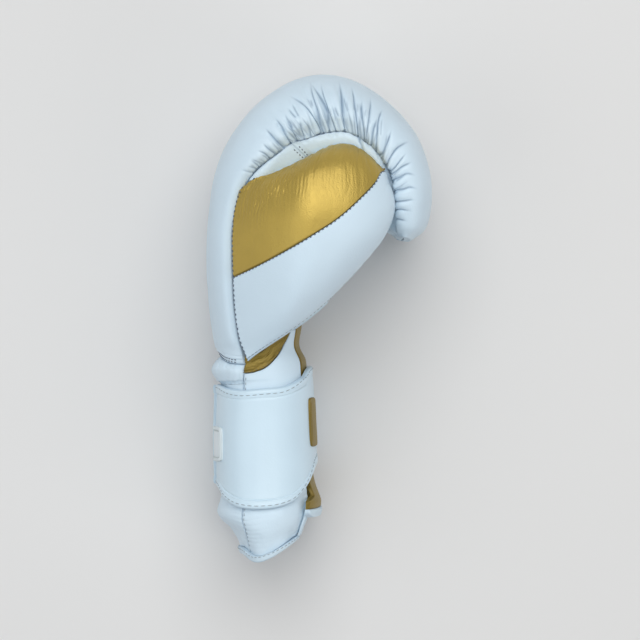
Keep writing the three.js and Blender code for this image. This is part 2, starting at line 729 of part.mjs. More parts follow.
// The gold flap closes the palm side of the cuff and shows above and below the strap.
function buildPalmFlap() {
  const stops = [flapEndRow, 4.4, 4.6, 4.7, 4.8, 5, 5.2, 5.4, 5.7, ...steps(6.1, palmStart, 12)];
  return tubePanel({
    rows: () => [flapEndRow, palmStart],
    angles: flapAngles,
    rowStops: shareStops(stops),
    angleStops: steps(0, 1, 8),
    angleEvery: 1,
    outside: flapOutside,
    inside: flapInside,
    gap: fitGap,
  });
}

function buildFlapBinding() {
  return tubePanel({
    rows: () => [flapEndRow - flapBindingRows, flapEndRow],
    angles: flapAngles,
    rowStops: steps(0, 1, 2),
    angleStops: steps(0, 1, 8),
    angleEvery: 1,
    outside: (row, angle) => flapOutside(row, angle, trimThickness),
    inside: flapInside,
    gap: fitGap,
  });
}

function buildMouthBinding() {
  return tubePanel({
    rows: (angle) => [mouthRow(angle), cuffStart(angle)],
    angles: () => [palmEdge, farEdge],
    rowStops: steps(0, 1, 2),
    angleStops: steps(0, 1, 28),
    outside: (row, angle) => outerPoint(row, angle, trimThickness),
    gap: fitGap,
  });
}

// The edge of the cuff's thumb side is bound where it shows below the strap.
function buildCuffEdgeBinding() {
  return tubePanel({
    rows: (angle) => [cuffStart(angle), edgeBindingTop],
    angles: () => [palmEdge, palmEdge + edgeBindingWidth],
    rowStops: steps(0, 1, 8),
    angleStops: steps(0, 1, 2),
    outside: (row, angle) => outerPoint(row, angle, fitGap + trimThickness),
    inside: (row, angle) => outerPoint(row, angle, fitGap),
    gap: fitGap,
  });
}

function strapEdge(name, angle) {
  const perRow = fullTurn / (strapEdges.length - 1);
  return column(strapEdges, name, foldedAngle(angle) / perRow);
}

function strapRaise(angle) {
  const lap = 1 - rise(angle, strapLapTo, strapLapFrom);
  return strapLift + lap * (strapThickness + fitGap);
}

// The strap over its whole turn: u runs along it and v across its width.
function strapPoint(u, v, height) {
  const angle = mix(strapStart, strapEnd, u);
  const row = mix(strapEdge('lower', angle), strapEdge('upper', angle), v);
  return outerPoint(row, angle, strapRaise(angle) + height);
}

function buildStrap() {
  const outside = (u, v) => strapPoint(u, v, strapThickness);
  const inside = (u, v) => strapPoint(u, v, 0);
  return wallGeometry(outside, inside, steps(0, 1, 52), steps(0, 1, 6), 1, 2);
}

// A thin plate that is sewn on the strap.
function strapPlate({ fromAngle, toAngle, fromRow, toRow }) {
  const spot = (height) => (u, v) => {
    const angle = mix(fromAngle, toAngle, u);
    const lift = strapRaise(angle) + strapThickness + fitGap + height;
    return outerPoint(mix(fromRow, toRow, v), angle, lift);
  };
  return wallGeometry(spot(trimThickness), spot(0), steps(0, 1, 5), steps(0, 1, 4), 1, 1);
}

// Thumb: u runs over the crown from the left end to the right one, v from hem to tip.
function thumbRow(v, hollow) {
  const row = {};
  for (const name of Object.keys(thumbRows[0])) {
    row[name] = column(thumbRows, name, v * thumbLastRow * (hollow ? thumbInsetShare : 1));
  }
  const left = new THREE.Vector3(row.lx * fistReach, row.ly * gloveLength, 0);
  const right = new THREE.Vector3(row.rx * fistReach, row.ry * gloveLength, 0);
  const span = left.distanceTo(right);
  const across = right.clone().sub(left).divideScalar(span);
  const side = hollow ? thumbSideWall : 0;
  return { row, start: left.addScaledVector(across, side), across, wide: span - 2 * side };
}

const bowSkew = 1.6;            // more than 1 moves the bow's top towards the right end

function thumbPlace(setup, share, height) {
  const along = Math.sin(Math.PI * clamp(share, 0, 1) ** bowSkew);
  const lift = setup.row.bow * gloveLength * along;
  return setup.start.clone()
    .addScaledVector(setup.across, setup.wide * share)
    .add(new THREE.Vector3(0, lift, height));
}

const crownWallShare = 0.6;     // share of a low crown's height that its wall may take

function thumbCrown(u, v, hollow) {
  const setup = thumbRow(v, hollow);
  const { row } = setup;
  const lowCrown = (row.crown - row.right) * thumbTop * crownWallShare;
  const inset = hollow ? Math.min(thumbWall, lowCrown) : 0;
  const crown = row.crown * thumbTop - inset;
  const turn = Math.abs(u - 0.5) * Math.PI;
  const end = (u < 0.5 ? row.left : row.right) * thumbTop;
  const share = 0.5 + Math.sign(u - 0.5) * 0.5 * Math.sin(turn);
  const fall = u < 0.5 ? 1 - Math.sin(turn) ** leftFall : Math.cos(turn);
  return thumbPlace(setup, share, end + (crown - end) * fall);
}

const curlShare = 0.4;          // share of the underside's width that curls down from its edge
const leastDrop = 0.2;

// Underside: u runs from the right end back to the web.
function thumbUnderside(u, v, hollow) {
  const setup = thumbRow(v, hollow);
  const { row, wide } = setup;
  const end = row.right * thumbTop;
  const drop = end - row.under * thumbTop - (hollow ? thumbUnderWall : 0);
  const turn = Math.min(1, u / curlShare) * (Math.PI / 2);
  const curled = 1 - (Math.max(1, drop) / wide) * (1 - Math.cos(turn));
  const share = u < curlShare ? curled : mix(curled, row.web, (u - curlShare) / (1 - curlShare));
  return thumbPlace(setup, share, end - fitGap - Math.max(leastDrop, drop) * Math.sin(turn));
}

// The thumb parts lie on the hand tube, so they are cut by its surface raised by a gap.
const wasm = await Module();
wasm.setup();

const mergeReach = 1e-4;        // points closer than this are one

function solidOf(geometry) {
  const bare = mergeVertices(geometry, mergeReach);
  return new wasm.Manifold(new wasm.Mesh({
    numProp: 3,
    vertProperties: bare.attributes.position.array,
    triVerts: new Uint32Array(bare.index.array),
  }));
}

function geometryOf(solid) {
  const mesh = solid.getMesh();
  const geometry = new THREE.BufferGeometry();
  geometry.setAttribute('position', new THREE.BufferAttribute(mesh.vertProperties, 3));
  geometry.setIndex([...mesh.triVerts]);
  return geometry;
}

// The hand tube from the wrist roll to the fingertips, close together under the thumb.
const envelopeRows = [...steps(7.5, 15, 30), ...steps(15.3, handLastRow, 30)];
const envelopeAngles = [...steps(0, 24, 2), ...steps(30, 138, 12), ...steps(150, 345, 13)];

function handEnvelope() {
  const points = [];
  const triangles = [];
  for (const row of envelopeRows) {
    for (const angle of envelopeAngles) {
      points.push(outerPoint(row, angle, envelopeLift, false));
    }
  }
  const count = envelopeAngles.length;
  const top = (envelopeRows.length - 1) * count;
  for (let i = 0; i < top; i += count) {
    for (let j = 0; j < count; j += 1) {
      const a = i + j;
      const b = i + ((j + 1) % count);
      triangles.push(a, a + count, b, b, a + count, b + count);
    }
  }
  const addCap = (from) => {
    const centre = new THREE.Vector3();
    for (let j = 0; j < count; j += 1) {
      centre.addScaledVector(points[from + j], 1 / count);
    }
    return points.push(centre) - 1;
  };
  const bottomCap = addCap(0);
  const topCap = addCap(top);
  for (let j = 0; j < count; j += 1) {
    const next = (j + 1) % count;
    triangles.push(bottomCap, j, next);
    triangles.push(topCap, top + next, top + j);
  }
  return solidOf(geometryFrom(points, triangles));
}

const envelope = handEnvelope();
const hemShare = thumbHem / thumbLastRow;
const thumbLengthShare = 0.35;  // the thumb's length as a share of gloveLength
const thumbGap = fitGap / 2 / (gloveLength * thumbLengthShare);

function thumbSeamShare(u) {
  return column(thumbSeam, 'row', u * (thumbSeam.length - 1)) / thumbLastRow;
}

function thumbPanel(surface, from, to, uCount, vCount) {
  const place = (hollow) => (u, v) => {
    const low = from(u) + thumbGap;
    const high = to(u) - thumbGap;
    return surface(u, mix(low, high, v), hollow);
  };
  const wall = wallGeometry(place(false), place(true), steps(0, 1, uCount), steps(0, 1, vCount));
  return geometryOf(solidOf(wall).subtract(envelope));
}

const atHem = () => 0;
const aboveHem = () => hemShare;
const atTip = () => 1;

addPiece('fist_pad', buildFistPad(), white);
addPiece('index_side_panel', buildIndexPanel(), white);
addPiece('palm_panel', buildPalmPanel(), innerWhite);
addPiece('finger_panel', buildFingerPanel(), innerWhite);
addPiece('wrist_roll', buildWristRoll(), white);
addPiece('cuff_back_panel', buildCuffBack(), white);
addPiece('cuff_side_panel', buildCuffSide(), white);
addPiece('gold_gusset', buildGoldGusset(), gold);
addPiece('palm_flap', buildPalmFlap(), gold);
addPiece('flap_binding', buildFlapBinding(), white);
addPiece('mouth_binding', buildMouthBinding(), white);
addPiece('cuff_edge_binding', buildCuffEdgeBinding(), white);
addPiece('wrist_strap', buildStrap(), white);
addPiece('strap_label', strapPlate(labelPlace), plainLabel);
addPiece('strap_patch', strapPlate(patchPlace), gold);
addPiece('thumb_gold_panel', thumbPanel(thumbCrown, thumbSeamShare, atTip, 14, 10), gold);
addPiece('thumb_white_panel', thumbPanel(thumbCrown, aboveHem, thumbSeamShare, 14, 12), white);
addPiece('thumb_hem', thumbPanel(thumbCrown, atHem, aboveHem, 14, 1), white);
addPiece('thumb_inner_panel', thumbPanel(thumbUnderside, atHem, atTip, 10, 14), innerWhite);

// The origin lies under the middle of the glove's box.
const box = new THREE.Box3().setFromObject(glove);
const middle = box.getCenter(new THREE.Vector3());
glove.position.set(-middle.x, -middle.y, -box.min.z);

export default glove;
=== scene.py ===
"""Left boxing glove of white and gold leather, lying on its little-finger side."""
import math

import bpy
import numpy as np
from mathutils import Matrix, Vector
from mathutils.bvhtree import BVHTree


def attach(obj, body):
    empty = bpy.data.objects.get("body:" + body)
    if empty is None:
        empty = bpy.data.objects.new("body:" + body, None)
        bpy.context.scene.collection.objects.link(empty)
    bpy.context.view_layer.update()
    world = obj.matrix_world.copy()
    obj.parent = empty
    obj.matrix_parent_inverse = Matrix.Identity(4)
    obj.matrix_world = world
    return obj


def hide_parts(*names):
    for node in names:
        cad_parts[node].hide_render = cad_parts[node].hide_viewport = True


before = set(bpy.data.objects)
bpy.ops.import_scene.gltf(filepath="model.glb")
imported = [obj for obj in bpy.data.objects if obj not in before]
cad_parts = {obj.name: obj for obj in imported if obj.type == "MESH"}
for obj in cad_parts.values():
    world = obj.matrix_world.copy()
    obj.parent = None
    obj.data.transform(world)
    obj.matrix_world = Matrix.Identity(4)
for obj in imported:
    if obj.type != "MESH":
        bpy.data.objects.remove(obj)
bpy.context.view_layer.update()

# Sizes of the glove in millimetres, and shares of them. Most are the same as the solids have.
GLOVE_LENGTH = 303.0
FIST_REACH = 140.0
FIST_WIDTH = 126.0
WRIST_WIDTH = 98.0
KNUCKLE_DEPTH = 76.0
WRIST_DEPTH = 58.0
THUMB_TOP = 154.0
PAD_WALL = 34.0
SIDE_WALL = 9.0
PALM_WALL = 4.0
CUFF_WALL = 5.0
THUMB_WALL = 11.0
THUMB_UNDER_WALL = 4.0
STRAP_THICKNESS = 3.0
TRIM_THICKNESS = 1.2
STRAP_FACE = STRAP_THICKNESS - 0.3
SEAM_GAP = 0.3
FIT_GAP = 0.6
ENVELOPE_LIFT = 0.35
ROUNDNESS = 0.77
SEAM_DIP = 5.0
SEAM_DIP_SPREAD = 7.0
WRIST_SEAM_DIP = 2.6
INDEX_DROP = 15.0
DROP_SPAN = 24.0
PLEAT_DEPTH = 2.2
FLAP_TAB_WALL = 2.4
FLAP_FLARE = 5.0
SOFT_PLEAT_SHARE = 0.45
LEFT_FALL = 1.35
CROWN_EASE = 0.15
THUMB_SKIRT = 18.0
TIP_SKIRT = 14.0
SIDE_SKIRT_SHARE = 0.05
TIP_SKIRT_SHARE = 0.03
TIP_SKIRT_CORNER = 0.12
CURL_SHARE = 0.4
THUMB_INSET_SHARE = 0.94
THUMB_SEAM_GAP = 0.4
THUMB_LENGTH_SHARE = 0.35
ROW_SPACING = 30.0
CENTRE_SHIFT = (0.66, -1.641)

# Angles in degrees, rows of the hand table and numbers of steps between rows
PALM_EDGE = 32.0
PALM_FAR_EDGE = -50.0
FAR_EDGE = PALM_FAR_EDGE + 360.0
FLAP_EDGE = 29.0
EDGE_BINDING_WIDTH = 8.0
PANEL_CLEARANCE = 1.5
PAD_BOTTOM_ROW = 10.2
ROLL_LOWER_ROW = 7.25
HAND_END_ROW = 15.4
HAND_STEPS = 12
CURL_START_ROW = 15.8
CURL_ROWS = 6.8
CURL_STEPS = 46
PALM_START_ROW = PAD_BOTTOM_ROW + 2 * (HAND_END_ROW - PAD_BOTTOM_ROW) / HAND_STEPS
THUMB_WEB_ROW = PAD_BOTTOM_ROW + 8 * (HAND_END_ROW - PAD_BOTTOM_ROW) / HAND_STEPS
FINGER_FOLD_ROW = CURL_START_ROW + 3 * CURL_ROWS / CURL_STEPS
FLAP_END_ROW = 4.2
FLAP_BINDING_ROWS = 0.5
FLARE_ROW = 5.4
TAB_ROW = 4.8
TAB_FULL = 4.45
TAB_WALL_ROWS = 0.5
TAB_CORNER_ROWS = 0.2
FLAP_TAB_WIDTH = 16.0
FAR_FADE = 25.0
EDGE_BINDING_TOP = 4.65
LAST_ROW = 25.0

HAND_COLUMNS = ("x", "y", "lean", "depth", "low", "high", "wall", "seam")
WRIST_ROWS = [
    (-0.335, -0.51, 19, 0.62, 0.06, 0.96, 1.0, 101),
    (-0.364, -0.466, 8, 0.69, 0.05, 0.98, 1.0, 101),
    (-0.402, -0.432, 3, 0.825, 0.03, 1.01, 1.3, 101),
    (-0.461, -0.4, 1.5, 1.03, 0.01, 1.02, 1.6, 101),
    (-0.442, -0.351, 1.2, 1.0, 0.0, 1.0, 1.2, 101),
    (-0.446, -0.247, 1.2, 0.975, 0.0, 0.99, 1.2, 101),
    (-0.442, -0.144, 2.6, 0.94, 0.0, 1.0, 1.2, 101),
    (-0.469, -0.124, 3.7, 0.995, 0.0, 1.01, 2.2, 101),
    (-0.491, -0.103, 5.9, 1.04, -0.01, 1.02, 3.0, 101),
    (-0.466, -0.07, 6.1, 0.91, 0.02, 1.03, 2.2, 105),
]
FIST_ROWS = [
    (-0.478, -0.037, 8.3, 0.74, -0.01, 0.85, 0.45, 111),
    (-0.5, 0.041, 3, 0.774, -0.024, 0.9, 0.6, 112.5),
    (-0.509, 0.134, -4, 0.816, -0.024, 0.94, 0.66, 113.5),
    (-0.5, 0.216, -11, 0.863, -0.024, 0.965, 0.74, 115),
    (-0.470, 0.303, -20.4, 0.931, -0.024, 0.985, 0.85, 106),
    (-0.397, 0.380, -31.8, 0.987, -0.024, 1.0, 0.94, 94.5),
    (-0.266, 0.452, -48, 1.018, -0.024, 1.0, 1.0, 90),
    (-0.089, 0.499, -65.3, 1.01, -0.024, 1.0, 1.0, 86.5),
    (0.087, 0.502, -79.8, 0.948, -0.024, 1.0, 0.95, 85.3),
    (0.274, 0.459, -97.4, 0.803, -0.024, 1.0, 0.85, 79.5),
    (0.415, 0.391, -118.9, 0.654, -0.02, 0.99, 0.72, 67),
    (0.482, 0.318, -138.7, 0.547, -0.01, 0.975, 0.6, 58),
    (0.5, 0.252, -156.7, 0.457, 0.02, 0.95, 0.5, 52),
    (0.473, 0.19, -175.7, 0.329, 0.08, 0.9, 0.38, 50),
    (0.402, 0.163, -192, 0.117, 0.14, 0.84, 0.12, 50),
]

# Pleats of the fist pad: row, lean, reach in degrees, depth share, spread in rows
PLEATS = [
    (16.5, -0.05, 40, 0.7, 0.1), (16.85, 0, 48, 0.8, 0.09), (17.12, -0.05, 46, 0.9, 0.08),
    (17.38, 0, 42, 0.8, 0.08), (17.66, -0.1, 62, 1.0, 0.09), (17.95, -0.05, 76, 1.0, 0.09),
    (18.25, 0, 76, 1.0, 0.09), (18.55, 0, 70, 0.8, 0.1), (18.9, 0, 72, 1.0, 0.1),
    (19.4, 0.02, 66, 0.9, 0.12), (19.8, 0.05, 62, 0.8, 0.11), (20.3, 0.1, 60, 0.9, 0.13),
    (20.9, 0.2, 54, 0.8, 0.14), (21.4, 0.25, 50, 0.7, 0.14), (21.9, 0.3, 44, 0.6, 0.15),
]

# Creases of the pad from its near seam: places (row, degrees past the seam), then depth in millimetres
CREASES = [
    ((15.94, 2), (15.99, 9), (15.95, 17), 0.5), ((16.16, 2), (16.17, 10), (16.23, 18), 0.6),
    ((16.48, 1), (16.5, 14), (16.58, 28), 0.9), ((16.72, 0), (16.85, 14), (16.93, 30), 1.0),
    ((16.92, 0), (17.08, 11), (17.16, 23), 0.9), ((17.14, 0), (17.3, 7), (17.39, 15), 0.8),
    ((17.36, 0), (17.47, 5), (17.6, 12), 0.7), ((17.62, 0), (17.8, 13), (17.49, 48), 1.3),
    ((17.87, 1), (17.96, 14), (18.2, 62), 1.1), ((18.1, 1), (18.28, 18), (18.13, 56), 1.2),
    ((18.34, 1), (18.33, 18), (18.43, 53), 1.0), ((18.7, 1), (18.87, 18), (18.94, 62), 1.1),
    ((19.25, 1), (19.31, 24), (19.22, 56), 1.2), ((19.5, 2), (19.46, 20), (19.49, 42), 0.9),
    ((19.6, 8), (19.72, 30), (19.7, 56), 0.8), ((19.78, 2), (19.84, 16), (19.95, 33), 0.8),
    ((20.0, 2), (19.98, 26), (20.07, 51), 1.0), ((20.21, 3), (20.4, 18), (20.43, 40), 0.8),
    ((20.64, 2), (20.8, 26), (21.1, 60), 1.0), ((20.86, 3), (21.1, 22), (21.2, 44), 0.8),
    ((20.96, 3), (21.35, 27), (21.56, 50), 1.0), ((21.34, 3), (21.6, 28), (22.06, 53), 0.9),
    ((21.77, 3), (22.1, 28), (22.53, 55), 0.9), ((22.27, 3), (22.6, 26), (22.9, 50), 0.8),
    ((22.84, 3), (23.0, 24), (23.34, 46), 0.7), ((23.3, 3), (23.5, 22), (23.7, 42), 0.6),
]

THUMB_COLUMNS = ("lx", "ly", "rx", "ry", "bow", "left", "crown", "right", "under", "web")
THUMB_ROWS = [
    (-0.321, -0.085, 0.031, 0.037, -0.006, 0.662, 0.72, 0.63, 0.58, 0.6),
    (-0.332, -0.071, 0.093, 0.065, -0.006, 0.668, 0.795, 0.67, 0.585, 0.53),
    (-0.358, -0.037, 0.176, 0.105, -0.003, 0.694, 0.875, 0.71, 0.6, 0.46),
    (-0.375, 0.016, 0.261, 0.152, 0, 0.72, 0.935, 0.745, 0.625, 0.4),
    (-0.383, 0.071, 0.308, 0.19, 0, 0.745, 0.97, 0.77, 0.66, 0.3),
    (-0.387, 0.121, 0.328, 0.224, 0.002, 0.758, 0.99, 0.785, 0.69, 0.16),
    (-0.387, 0.17, 0.323, 0.25, 0.008, 0.771, 1.0, 0.795, 0.71, 0.09),
    (-0.376, 0.222, 0.309, 0.268, 0.018, 0.773, 0.99, 0.8, 0.72, 0.1),
    (-0.349, 0.262, 0.296, 0.285, 0.031, 0.779, 0.965, 0.805, 0.735, 0.1),
    (-0.301, 0.283, 0.288, 0.296, 0.047, 0.786, 0.91, 0.815, 0.74, 0.1),
    (-0.236, 0.293, 0.277, 0.303, 0.059, 0.8, 0.83, 0.825, 0.785, 0.1),
]
THUMB_LAST = len(THUMB_ROWS) - 1
THUMB_SEAM = [4.27, 4.3, 4.34, 4.43, 4.61, 4.88, 5.31, 6.07, 7.15, 8.8, 9.6]
THUMB_HEM = 0.32 / THUMB_LAST

# Strap edges every 22.5 degrees from the palm, as rows of the hand table: lower, upper
STRAP_EDGES = [
    (5.52, 8.55), (5.42, 8.35), (5.07, 7.4), (4.6, 7.06), (4.36, 7.0), (4.45, 6.98), (4.72, 7.05),
    (5.02, 7.2), (5.08, 7.2), (5.1, 7.15), (5.1, 7.1), (5.1, 7.1), (5.15, 7.15), (5.25, 7.4),
    (5.4, 7.9), (5.5, 8.4), (5.52, 8.55),
]
STRAP_START = 228.0
STRAP_END = -165.0
STRAP_LAP_FROM = -114.0
STRAP_LAP_TO = -131.0

# Seam between the fist pad and the wrist roll: angle, row
PAD_BOTTOM_EDGE = [
    (95, 9.15), (111, 9.25), (120, 9.32), (135, 9.49), (150, 9.68), (165, 9.85), (180, 9.9),
    (225, 9.75), (270, 9.5), (310, 9.4),
]

# Edge of the cuff mouth: angle, row
MOUTH_EDGE = [
    (32, 1.95), (40, 1.85), (50, 1.68), (60, 1.54), (70, 1.39), (80, 1.26), (90, 1.13), (100, 1.08),
    (110, 1.1), (120, 1.17), (130, 1.31), (140, 1.5), (150, 1.6), (180, 1.6), (225, 1.4),
    (270, 1.3), (310, 1.7),
]
MOUTH_BINDING_ROWS = 0.34

# Seam from the cuff's mouth to the pad at the back of the thumb side: row, angle
BACK_SEAM = [(1, 133), (2, 131), (3, 121), (4, 112), (7, 112), (8.45, 103), (9.3, 101), (12, 101)]

# Edges of the gold gusset by angle: angle, lower row, upper row
GUSSET_EDGES = [
    (44, 10.86, 10.98), (50, 10.36, 10.98), (58, 9.92, 10.95), (66, 9.58, 10.9), (73, 9.3, 10.81),
    (80, 8.96, 10.7), (86, 8.71, 10.62), (93, 8.47, 10.44), (98, 8.44, 10.41), (111, 8.44, 10.4),
]


# Shape functions, all in millimetres and on arrays
def smooth(value):
    t = np.clip(value, 0.0, 1.0)
    return t * t * (3 - 2 * t)


def mix(a, b, share):
    return a + (b - a) * share


def hump(value, width):
    """1 where the value is 0, falling off softly over a width on both sides."""
    return np.exp(-((value / width) ** 2))


def column(values, place):
    """A smooth curve through a column of values, at a place counted in rows from 0."""
    values = np.asarray(values, float)
    last = len(values) - 1
    spot = np.clip(np.asarray(place, float), 0, last)
    i = np.minimum(last - 1, np.floor(spot).astype(int))
    f = spot - i
    b, c = values[i], values[i + 1]
    a = np.where(i > 0, values[np.maximum(i - 1, 0)], 2 * b - c)
    d = np.where(i < last - 1, values[np.minimum(i + 2, last)], 2 * c - b)
    f2, f3 = f * f, f * f * f
    return (b * (2 * f3 - 3 * f2 + 1) + (c - a) / 2 * (f3 - 2 * f2 + f)
            + c * (3 * f2 - 2 * f3) + (d - b) / 2 * (f3 - f2))


def hand_columns():
    wrist = np.array(WRIST_ROWS, float)
    fist = np.array(FIST_ROWS, float)
    sizes = (
        (FIST_REACH, FIST_REACH), (GLOVE_LENGTH, GLOVE_LENGTH), (1, 1), (WRIST_DEPTH, KNUCKLE_DEPTH),
        (WRIST_WIDTH, FIST_WIDTH), (WRIST_WIDTH, FIST_WIDTH), (CUFF_WALL, PAD_WALL), (1, 1),
    )
    table = {}
    for i, name in enumerate(HAND_COLUMNS):
        table[name] = np.concatenate([wrist[:, i] * sizes[i][0], fist[:, i] * sizes[i][1]])
    return table


HAND = hand_columns()
THUMB = {name: np.array([row[i] for row in THUMB_ROWS], float) for i, name in enumerate(THUMB_COLUMNS)}


def section_at(row):
    """The hand tube's section at rows counted from 1 at the cuff mouth."""
    s = {name: column(HAND[name], row - 1) for name in HAND_COLUMNS}
    lean = np.radians(s["lean"])
    s["to_palm"] = np.stack([np.cos(lean), np.sin(lean)], axis=-1)
    in_fist = smooth((row - len(WRIST_ROWS)) / 2)
    s["side"] = mix(CUFF_WALL, SIDE_WALL, in_fist)
    s["palm"] = mix(CUFF_WALL, PALM_WALL, in_fist)
    s["floor"] = smooth((row - 4) / 0.8) * (1 - smooth((row - 7.6) / 0.6)) * (STRAP_THICKNESS + FIT_GAP)
    s["drop"] = INDEX_DROP * smooth((row - THUMB_WEB_ROW) / 1.3) * (1 - smooth((row - 22.5) / 2.5))
    return s


def power(value):
    return np.sign(value) * np.abs(value) ** ROUNDNESS


def oval_point(s, angle, back, palm, side):
    turn = np.radians(angle)
    half_depth = (s["depth"] - back - palm) / 2
    half_height = (s["high"] - s["low"]) / 2 - side
    reach = back + half_depth * (1 + power(np.cos(turn)))
    folded = np.mod(angle, 360.0)
    seam_reach = s["depth"] / 2 * (1 + power(np.cos(np.radians(s["seam"]))))
    past = smooth((reach - seam_reach + DROP_SPAN * 0.1) / DROP_SPAN)
    palm_half = np.where(folded < 180, past * smooth(folded / 45), 0.0)
    height = (s["high"] + s["low"]) / 2 + half_height * power(np.sin(turn)) - s["drop"] * palm_half
    return reach, height


def in_section(s, reach, height):
    x = s["x"] + s["to_palm"][..., 0] * reach
    y = s["y"] + s["to_palm"][..., 1] * reach
    return np.stack([x, y, height + 0 * x], axis=-1)


def table_at(table, place, number=1):
    """A column of a table at a place between its lines. The first column holds the places."""
    columns = np.array(table, float).T
    return np.interp(place, columns[0], columns[number])


def pad_bottom(angle):
    """Row of the seam between the fist pad and the wrist roll, by angle."""
    return table_at(PAD_BOTTOM_EDGE, np.mod(angle, 360.0))


def drawn_in(s, row, angle, pleats):
    """How far seams and pleats draw the pad in."""
    folded = np.mod(angle, 360.0)
    fist = smooth((row - 10.0) / 1.2) * (1 - smooth((row - 23) / 1.6))
    near = hump(folded - s["seam"], SEAM_DIP_SPREAD)
    far = hump(folded - FAR_EDGE, SEAM_DIP_SPREAD)
    rise = mix(0.45, 1.0, smooth((row - THUMB_WEB_ROW) / 1.5))
    depth = SEAM_DIP * (near * rise + 0.5 * far) * fist
    on_pad = smooth((folded - s["seam"] + 3) / 6) * (1 - smooth((folded - FAR_EDGE) / 3))
    depth = depth + WRIST_SEAM_DIP * hump(row - pad_bottom(angle), 0.3) * on_pad
    if not pleats:
        return depth
    for start, lean, reach, share, spread in PLEATS:
        from_near = (folded - s["seam"]) / reach
        from_far = (FAR_EDGE - folded) / reach
        along = np.minimum(np.abs(from_near), np.abs(from_far))
        shape = SOFT_PLEAT_SHARE * hump(row - start - lean * along, spread)
        fade = smooth(along / 0.12 + 0.3) * (1 - smooth((along - 0.35) / 0.65))
        inside = (from_near > -0.05) & (from_far > -0.05) & (along < 1)
        depth = depth + np.where(inside, PLEAT_DEPTH * share * shape * fade, 0.0)
    return depth


def outer(row, angle, lift=0.0, pleats=True):
    row, angle = np.broadcast_arrays(np.asarray(row, float), np.asarray(angle, float))
    s = section_at(row)
    reach, height = oval_point(s, angle, 0, 0, 0)
    r0, h0 = oval_point(s, angle - 1.5, 0, 0, 0)
    r1, h1 = oval_point(s, angle + 1.5, 0, 0, 0)
    nx, ny = h1 - h0, r0 - r1
    size = np.maximum(np.hypot(nx, ny), 1e-9)
    push = lift - drawn_in(s, row, angle, pleats)
    reach = reach + nx / size * push
    height = height + ny / size * push
    floor = np.where(s["floor"] > 0, s["floor"] - np.maximum(0, lift), 0.0)
    height = np.maximum(height, np.maximum(0, floor))
    return in_section(s, reach, height)


def cavity(row, angle):
    row, angle = np.broadcast_arrays(np.asarray(row, float), np.asarray(angle, float))
    s = section_at(row)
    reach, height = oval_point(s, angle, s["wall"], s["palm"], s["side"])
    height = np.maximum(height, s["side"] * 0.9)
    return in_section(s, reach, height)


def mouth_row(angle):
    return table_at(MOUTH_EDGE, np.mod(angle, 360.0))


def cuff_bottom(angle):
    return mouth_row(angle) + MOUTH_BINDING_ROWS


def back_seam(row):
    return table_at(BACK_SEAM, row)


def gusset_low(angle):
    return table_at(GUSSET_EDGES, angle)


def gusset_high(angle):
    return table_at(GUSSET_EDGES, angle, 2)


def strap_edge(which, angle):
    values = [row[0 if which == "lower" else 1] for row in STRAP_EDGES]
    return column(values, np.mod(angle, 360.0) / 22.5)


def strap_raise(angle):
    lap = smooth((STRAP_LAP_FROM - angle) / (STRAP_LAP_FROM - STRAP_LAP_TO))
    return FIT_GAP + lap * (STRAP_THICKNESS + FIT_GAP)


def strap_point(u, v, height):
    angle = mix(STRAP_START, STRAP_END, u)
    row = mix(strap_edge("lower", angle), strap_edge("upper", angle), v)
    return outer(row, angle, strap_raise(angle) + height)


def thumb_setup(v, inset):
    place = v * THUMB_LAST * (THUMB_INSET_SHARE if inset else 1)
    row = {name: column(THUMB[name], place) for name in THUMB_COLUMNS}
    left = np.stack([row["lx"] * FIST_REACH, row["ly"] * GLOVE_LENGTH, 0 * row["lx"]], axis=-1)
    right = np.stack([row["rx"] * FIST_REACH, row["ry"] * GLOVE_LENGTH, 0 * row["rx"]], axis=-1)
    span = np.linalg.norm(right - left, axis=-1)
    across = (right - left) / span[..., None]
    side = THUMB_UNDER_WALL + 1 if inset else 0.0
    return row, left + across * side, across, span - 2 * side


def thumb_place(setup, share, height):
    row, start, across, wide = setup
    lift = row["bow"] * GLOVE_LENGTH * np.sin(np.pi * np.clip(share, 0, 1) ** 1.6)
    point = start + across * (wide * share)[..., None]
    point[..., 1] += lift
    point[..., 2] += height
    return point


def crown_height(row, crown, side):
    """Height of the thumb's top: side runs from -1 at the left end over 0 at the crown to 1."""
    left_end = row["left"] * THUMB_TOP
    right_end = row["right"] * THUMB_TOP
    across = side ** 2
    slope = across * ((across + CROWN_EASE) / (1 + CROWN_EASE)) ** (LEFT_FALL / 2 - 1)
    left = left_end + (crown - left_end) * (1 - slope)
    right = right_end + (crown - right_end) * np.sqrt(np.maximum(0, 1 - across))
    return mix(left, right, smooth((side + 0.45) / 0.9))


def thumb_crown(u, v, inset=False):
    setup = thumb_setup(v, inset)
    row = setup[0]
    base = -np.minimum(THUMB_WALL, (row["crown"] - row["right"]) * THUMB_TOP * 0.6) if inset else 0.0
    crown = row["crown"] * THUMB_TOP + base
    side = np.sign(u - 0.5) * np.sin(np.abs(u - 0.5) * np.pi)
    side_skirt = THUMB_SKIRT * (1 - smooth(u / SIDE_SKIRT_SHARE))
    tip_skirt = TIP_SKIRT * (1 - smooth((1 - v) / TIP_SKIRT_SHARE)) * smooth((1 - u) / TIP_SKIRT_CORNER)
    height = crown_height(row, crown, side) - np.maximum(side_skirt, tip_skirt)
    return thumb_place(setup, 0.5 + 0.5 * side, height)


